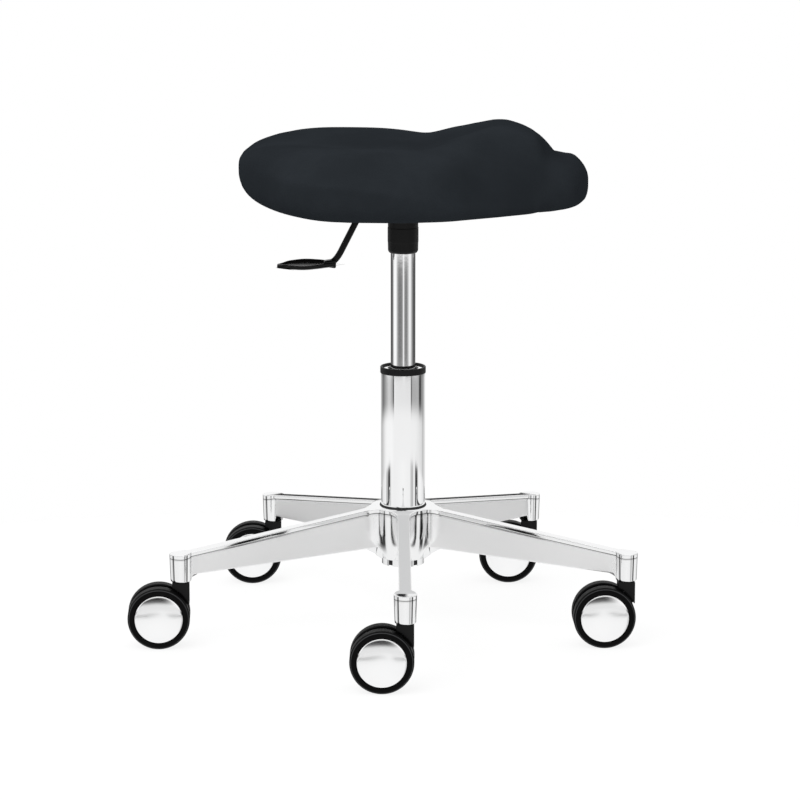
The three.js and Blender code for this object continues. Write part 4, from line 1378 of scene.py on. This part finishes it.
def caster_pieces(name):
    caster = settings().caster
    place = swivel(name)
    housing = moved(housing_shape(caster), place)
    piece(f"fork_{name}", housing, "black_plastic", f"caster_{name}", f"housing_{name}")
    for side_name, side in (("near", -1), ("far", 1)):
        body = f"wheel_{name}_{side_name}"
        wheel = moved(on_axle(wheel_shape(caster), side), place)
        piece(f"rim_{name}_{side_name}", wheel, "tread_black", body, f"wheel_{name}_{side_name}", sharp=50)
        cap = moved(on_axle(cap_shape(caster), side), place)
        piece(f"dome_{name}_{side_name}", cap, "cap_chrome", body, f"cap_{name}_{side_name}", weighted=False)


# Carried-over nodes

PLAIN_NODES = {
    "guide_bush": "black_plastic",
    "rubber_buffer": "black_rubber",
}


def dress_plain_nodes():
    """Gives every CAD node a finish. Those that a piece replaces stay hidden."""
    for name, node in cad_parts.items():
        finish = PLAIN_NODES.get(name, "plain_steel")
        if not node.material_slots:
            node.data.materials.append(finish_named(finish))
        for slot in node.material_slots:
            slot.material = finish_named(finish)


# Studio


def pale_floor():
    bm = bmesh.new()
    bmesh.ops.create_grid(bm, x_segments=8, y_segments=8, size=3.2)
    bmesh.ops.translate(bm, verts=bm.verts, vec=(0, -0.6, -0.35 * MM))
    mesh = bpy.data.meshes.new("floor")
    bm.to_mesh(mesh)
    bm.free()
    floor = bpy.data.objects.new("floor", mesh)
    bpy.context.scene.collection.objects.link(floor)
    mesh.materials.append(floor_finish())
    floor.visible_glossy = False


def floor_finish():
    """Pale paper that thins out to nothing far from the stool."""
    material = bpy.data.materials.new("floor_paper")
    material.use_nodes = True
    graph = Graph(material.node_tree)
    place = graph.node("ShaderNodeSeparateXYZ", {}, {"Vector": graph.coordinates()})
    x, y = graph.wire(place, "X"), graph.wire(place, "Y")
    ahead = graph.between(y, -0.1, 0.1, 1.3, 0.55)
    reach = (x**2 + (y / ahead) ** 2) ** 0.5
    fade = graph.between(reach, 0.86, 1.12)
    speckle = graph.noise(260, 2)
    tone = settings().studio.floor
    paper = graph.node(
        "ShaderNodeBsdfPrincipled",
        {},
        {
            "Base Color": graph.mix(speckle, shade(tone, 0.98), shade(tone, 1.0)),
            "Roughness": 0.8,
            "Specular IOR Level": 0.1,
            "Emission Color": (1, 1, 1, 1),
            "Emission Strength": settings().studio.floor_glow,
        },
    )
    clear = graph.node("ShaderNodeBsdfTransparent")
    mixed = graph.node("ShaderNodeMixShader", {}, {0: fade, 1: graph.wire(paper), 2: graph.wire(clear)})
    graph.node("ShaderNodeOutputMaterial", {}, {"Surface": graph.wire(mixed)})
    return material


# What polished metal sees low down, from the left of the camera round to the right:
# pairs of an angle and a brightness, for five heights, the highest first.
SIDE_WALL = (
    (-180, 0.95), (-150, 0.9), (-136, 0.3), (-122, 0.42), (-112, 0.9), (-102, 0.92), (-97, 0.25), (-86, 0.35),
    (-80, 0.9), (-60, 0.94), (0, 0.92), (60, 0.94), (80, 0.9), (86, 0.35), (97, 0.25), (102, 0.92), (112, 0.9),
    (122, 0.42), (136, 0.3), (150, 0.9), (180, 0.95),
)
HIGH_WALL = (
    (-180, 0.7), (-160, 0.5), (-148, 0.08), (-118, 0.08), (-104, 0.42), (-92, 1), (-68, 1), (-57, 0.55), (-46, 0.26),
    (-30, 0.17), (-9, 0.24), (0, 0.62), (3, 0.98), (7, 0.9), (13, 0.3), (20, 0.22), (36, 0.22), (47, 0.52), (60, 0.9),
    (68, 0.95), (76, 0.78), (87, 0.42), (101, 0.18), (118, 0.07), (146, 0.08), (160, 0.5), (180, 0.7),
)
UPPER_WALL = (
    (-180, 0.9), (-160, 0.7), (-145, 0.36), (-124, 0.17), (-106, 0.34), (-92, 0.5), (-80, 0.66), (-70, 0.6),
    (-60, 0.42), (-55, 0.3), (-52, 0.02), (-49, 0.1), (-47, 0.9), (-34, 0.84), (34, 0.82), (40, 0.78), (42, 0.05),
    (45, 0.12), (48, 0.42), (84, 0.46), (91, 0.3), (94, 0.04), (104, 0.05), (110, 0.24), (132, 0.4), (148, 0.8), (180, 0.9),
)
LOWER_WALL = (
    (-180, 0.9), (-160, 0.6), (-140, 0.55), (-124, 0.7), (-106, 0.92), (-92, 1), (-60, 1), (-46, 0.94), (0, 0.94),
    (34, 0.94), (70, 0.92), (92, 0.84), (114, 0.76), (122, 0.54), (130, 0.6), (150, 0.8), (180, 0.9),
)
FLOOR_LEVEL = (
    (-180, 0.75), (-164, 0.5), (-156, 0.06), (-144, 0.1), (-136, 0.8), (-102, 0.96), (-97, 0.55), (-86, 0.45), (-84, 0.04),
    (-73, 0.05), (-69, 0.85), (-60, 0.95), (-44, 0.93), (0, 0.98), (37, 0.93), (41, 0.6), (52, 0.5), (56, 0.9), (64, 0.92),
    (67, 0.05), (80, 0.05), (84, 0.9), (98, 1), (136, 0.8), (144, 0.1), (156, 0.06), (164, 0.5), (180, 0.75),
)


def studio_world():
    """White to the eye. What polished metal sees has the dark gaps between the studio's panels."""
    world = bpy.data.worlds.new("studio")
    bpy.context.scene.world = world
    world.use_nodes = True
    graph = Graph(world.node_tree)
    way = graph.wire(graph.node("ShaderNodeTexCoord"), "Generated")
    parts = graph.node("ShaderNodeSeparateXYZ", {}, {"Vector": way})
    x, y, z = (graph.wire(parts, name) for name in "XYZ")
    height = graph.maths("ARCSINE", z) * (180 / math.pi)
    turn = graph.maths("ARCTAN2", x, y * -1) * (180 / math.pi)
    low_part = walls(graph, height, turn)
    aside = abs(turn)
    gap = graph.between(turn, -42, -26) * (1 - graph.between(turn, 6, 30))
    gap = gap * graph.between(height, 3, 9) * (1 - graph.between(height, 22, 26))
    dim = graph.between(height, 23, 28) * (1 - graph.between(height, 38, 55))
    horizon = (1 - graph.between(height, 1.5, 5)) * graph.between(aside, 30, 60, 0.2, 1)
    sky = (1 - gap * 0.97) * (1 - dim * 0.29) * (1 - horizon * 0.95) * graph.between(height, 20, 80, 1.0, 1.25)
    sky = graph.wire(graph.node("ShaderNodeCombineColor", {}, {0: sky, 1: sky, 2: sky}))
    seen = graph.mix(graph.between(height, -5.1, -4.3), low_part, sky)
    path = graph.wire(graph.node("ShaderNodeLightPath"), "Is Camera Ray")
    tone = graph.mix(path, seen, (1, 1, 1, 1))
    backing = graph.node("ShaderNodeBackground", {}, {"Color": tone, "Strength": 1.0})
    graph.node("ShaderNodeOutputWorld", {}, {"Surface": graph.wire(backing)})


def walls(graph, height, turn):
    """The studio below eye level, one pattern above another, down to the white floor."""
    drawn_in = turn * graph.between(height, -50, -14, 0.78, 1)
    shares = (turn / 360 + 0.5,) * 4 + (drawn_in / 360 + 0.5,)
    side_wall, high_wall, upper, lower, level = (
        graph.ramp(share, [(angle / 360 + 0.5, tone) for angle, tone in wall])
        for share, wall in zip(shares, (SIDE_WALL, HIGH_WALL, UPPER_WALL, LOWER_WALL, FLOOR_LEVEL))
    )
    seen = graph.mix(graph.between(height, -48, -30), (0.96, 0.96, 0.96, 1), level)
    seen = graph.mix(graph.between(height, -13.3, -13.1), seen, lower)
    seen = graph.mix(graph.between(height, -12.1, -11.6), seen, upper)
    seen = graph.mix(graph.between(height, -11.0, -10.92), seen, high_wall)
    return graph.mix(graph.between(height, -8.8, -8.5), seen, side_wall)


def panel_light(name, power, size, spot, target):
    light = bpy.data.lights.new(name, "AREA")
    light.shape = "RECTANGLE"
    light.size, light.size_y = size
    light.energy = power
    holder = bpy.data.objects.new(name, light)
    bpy.context.scene.collection.objects.link(holder)
    holder.location = spot
    holder.rotation_euler = (Vector(target) - Vector(spot)).to_track_quat("-Z", "Y").to_euler()
    holder.visible_camera = False
    holder.visible_glossy = False
    return holder


def photo_camera():
    studio = settings().studio
    camera = bpy.data.cameras.new("camera")
    camera.sensor_width = 36
    camera.lens = studio.focal * camera.sensor_width
    camera.clip_end = 50
    turn = Matrix.Rotation(-studio.azimuth, 3, "Z")
    back = turn @ Vector((0, -math.cos(studio.elevation), math.sin(studio.elevation)))
    target = turn @ Vector((-3.42, 0, 262.96)) * MM
    holder = bpy.data.objects.new("camera", camera)
    bpy.context.scene.collection.objects.link(holder)
    holder.location = COLUMN + target + back * studio.distance
    holder.rotation_euler = (-back).to_track_quat("-Z", "Y").to_euler()
    bpy.context.scene.camera = holder


# Operators and panel


class STOOL_OT_seat(bpy.types.Operator):
    """Build the padded saddle and its board"""

    bl_idname = "stool.seat"
    bl_label = "Seat"

    def execute(self, context):
        padded_seat()
        board_piece()
        return {"FINISHED"}


class STOOL_OT_carrier(bpy.types.Operator):
    """Build the carrier plate under the seat"""

    bl_idname = "stool.carrier"
    bl_label = "Carrier plate"

    def execute(self, context):
        plate_piece()
        return {"FINISHED"}


class STOOL_OT_column(bpy.types.Operator):
    """Build the telescopic column and its caps"""

    bl_idname = "stool.column"
    bl_label = "Column"

    def execute(self, context):
        column_pieces()
        return {"FINISHED"}


class STOOL_OT_base(bpy.types.Operator):
    """Build the polished star base"""

    bl_idname = "stool.base"
    bl_label = "Star base"

    def execute(self, context):
        turn = Matrix.Translation(COLUMN) @ Matrix.Rotation(-math.pi / 2, 4, "Z")
        piece("star_base", moved(star_casting(), turn), "polished_aluminium", "base", "base_casting")
        return {"FINISHED"}


class STOOL_OT_lever(bpy.types.Operator):
    """Build the release lever"""

    bl_idname = "stool.lever"
    bl_label = "Lever"

    def execute(self, context):
        rod_piece()
        paddle_piece()
        return {"FINISHED"}


class STOOL_OT_casters(bpy.types.Operator):
    """Build the five twin-wheel casters"""

    bl_idname = "stool.casters"
    bl_label = "Casters"

    def execute(self, context):
        for name in CASTERS:
            caster_pieces(name)
        return {"FINISHED"}


class STOOL_OT_plain_nodes(bpy.types.Operator):
    """Give the carried-over inner pieces their finishes"""

    bl_idname = "stool.plain_nodes"
    bl_label = "Inner pieces"

    def execute(self, context):
        dress_plain_nodes()
        return {"FINISHED"}


class STOOL_OT_studio(bpy.types.Operator):
    """Set up the floor, the light and the camera"""

    bl_idname = "stool.studio"
    bl_label = "Studio"

    def execute(self, context):
        pale_floor()
        studio_world()
        power = settings().studio.top_light
        panel_light("side_panel", power, (1.8, 1.4), (-0.9, -1.3, 1.9), (0, 0, 0.45))
        photo_camera()
        context.scene.view_settings.view_transform = "Standard"
        return {"FINISHED"}


class STOOL_PT_panel(bpy.types.Panel):
    """Lists the stool's operators"""

    bl_idname = "STOOL_PT_panel"
    bl_label = "Saddle stool"
    bl_space_type = "VIEW_3D"
    bl_region_type = "UI"
    bl_category = "Saddle stool"

    def draw(self, context):
        for operator in OPERATORS:
            self.layout.operator(operator.bl_idname)


class StoolSettings(bpy.types.PropertyGroup):
    """All the sizes and colours."""

    seat: PointerProperty(type=SeatSettings, name="Seat", description="The padded saddle")
    base: PointerProperty(type=BaseSettings, name="Base", description="The star base")
    column: PointerProperty(type=ColumnSettings, name="Column", description="The telescopic column")
    lever: PointerProperty(type=LeverSettings, name="Lever", description="The release lever")
    caster: PointerProperty(type=CasterSettings, name="Casters", description="The twin-wheel casters")
    studio: PointerProperty(type=StudioSettings, name="Studio", description="The floor, light and camera")


OPERATORS = (
    STOOL_OT_seat,
    STOOL_OT_carrier,
    STOOL_OT_column,
    STOOL_OT_base,
    STOOL_OT_lever,
    STOOL_OT_casters,
    STOOL_OT_plain_nodes,
    STOOL_OT_studio,
)
GROUPS = (SeatSettings, BaseSettings, ColumnSettings, LeverSettings, CasterSettings, StudioSettings)
CLASSES = (*GROUPS, StoolSettings, *OPERATORS, STOOL_PT_panel)


def register():
    for one in CLASSES:
        bpy.utils.register_class(one)
    bpy.types.Scene.saddle_stool = PointerProperty(type=StoolSettings)


def unregister():
    del bpy.types.Scene.saddle_stool
    for one in reversed(CLASSES):
        bpy.utils.unregister_class(one)


def main():
    register()
    bpy.ops.stool.seat()
    bpy.ops.stool.carrier()
    bpy.ops.stool.column()
    bpy.ops.stool.base()
    bpy.ops.stool.lever()
    bpy.ops.stool.casters()
    bpy.ops.stool.plain_nodes()
    bpy.ops.stool.studio()


if __name__ == "__main__":
    main()
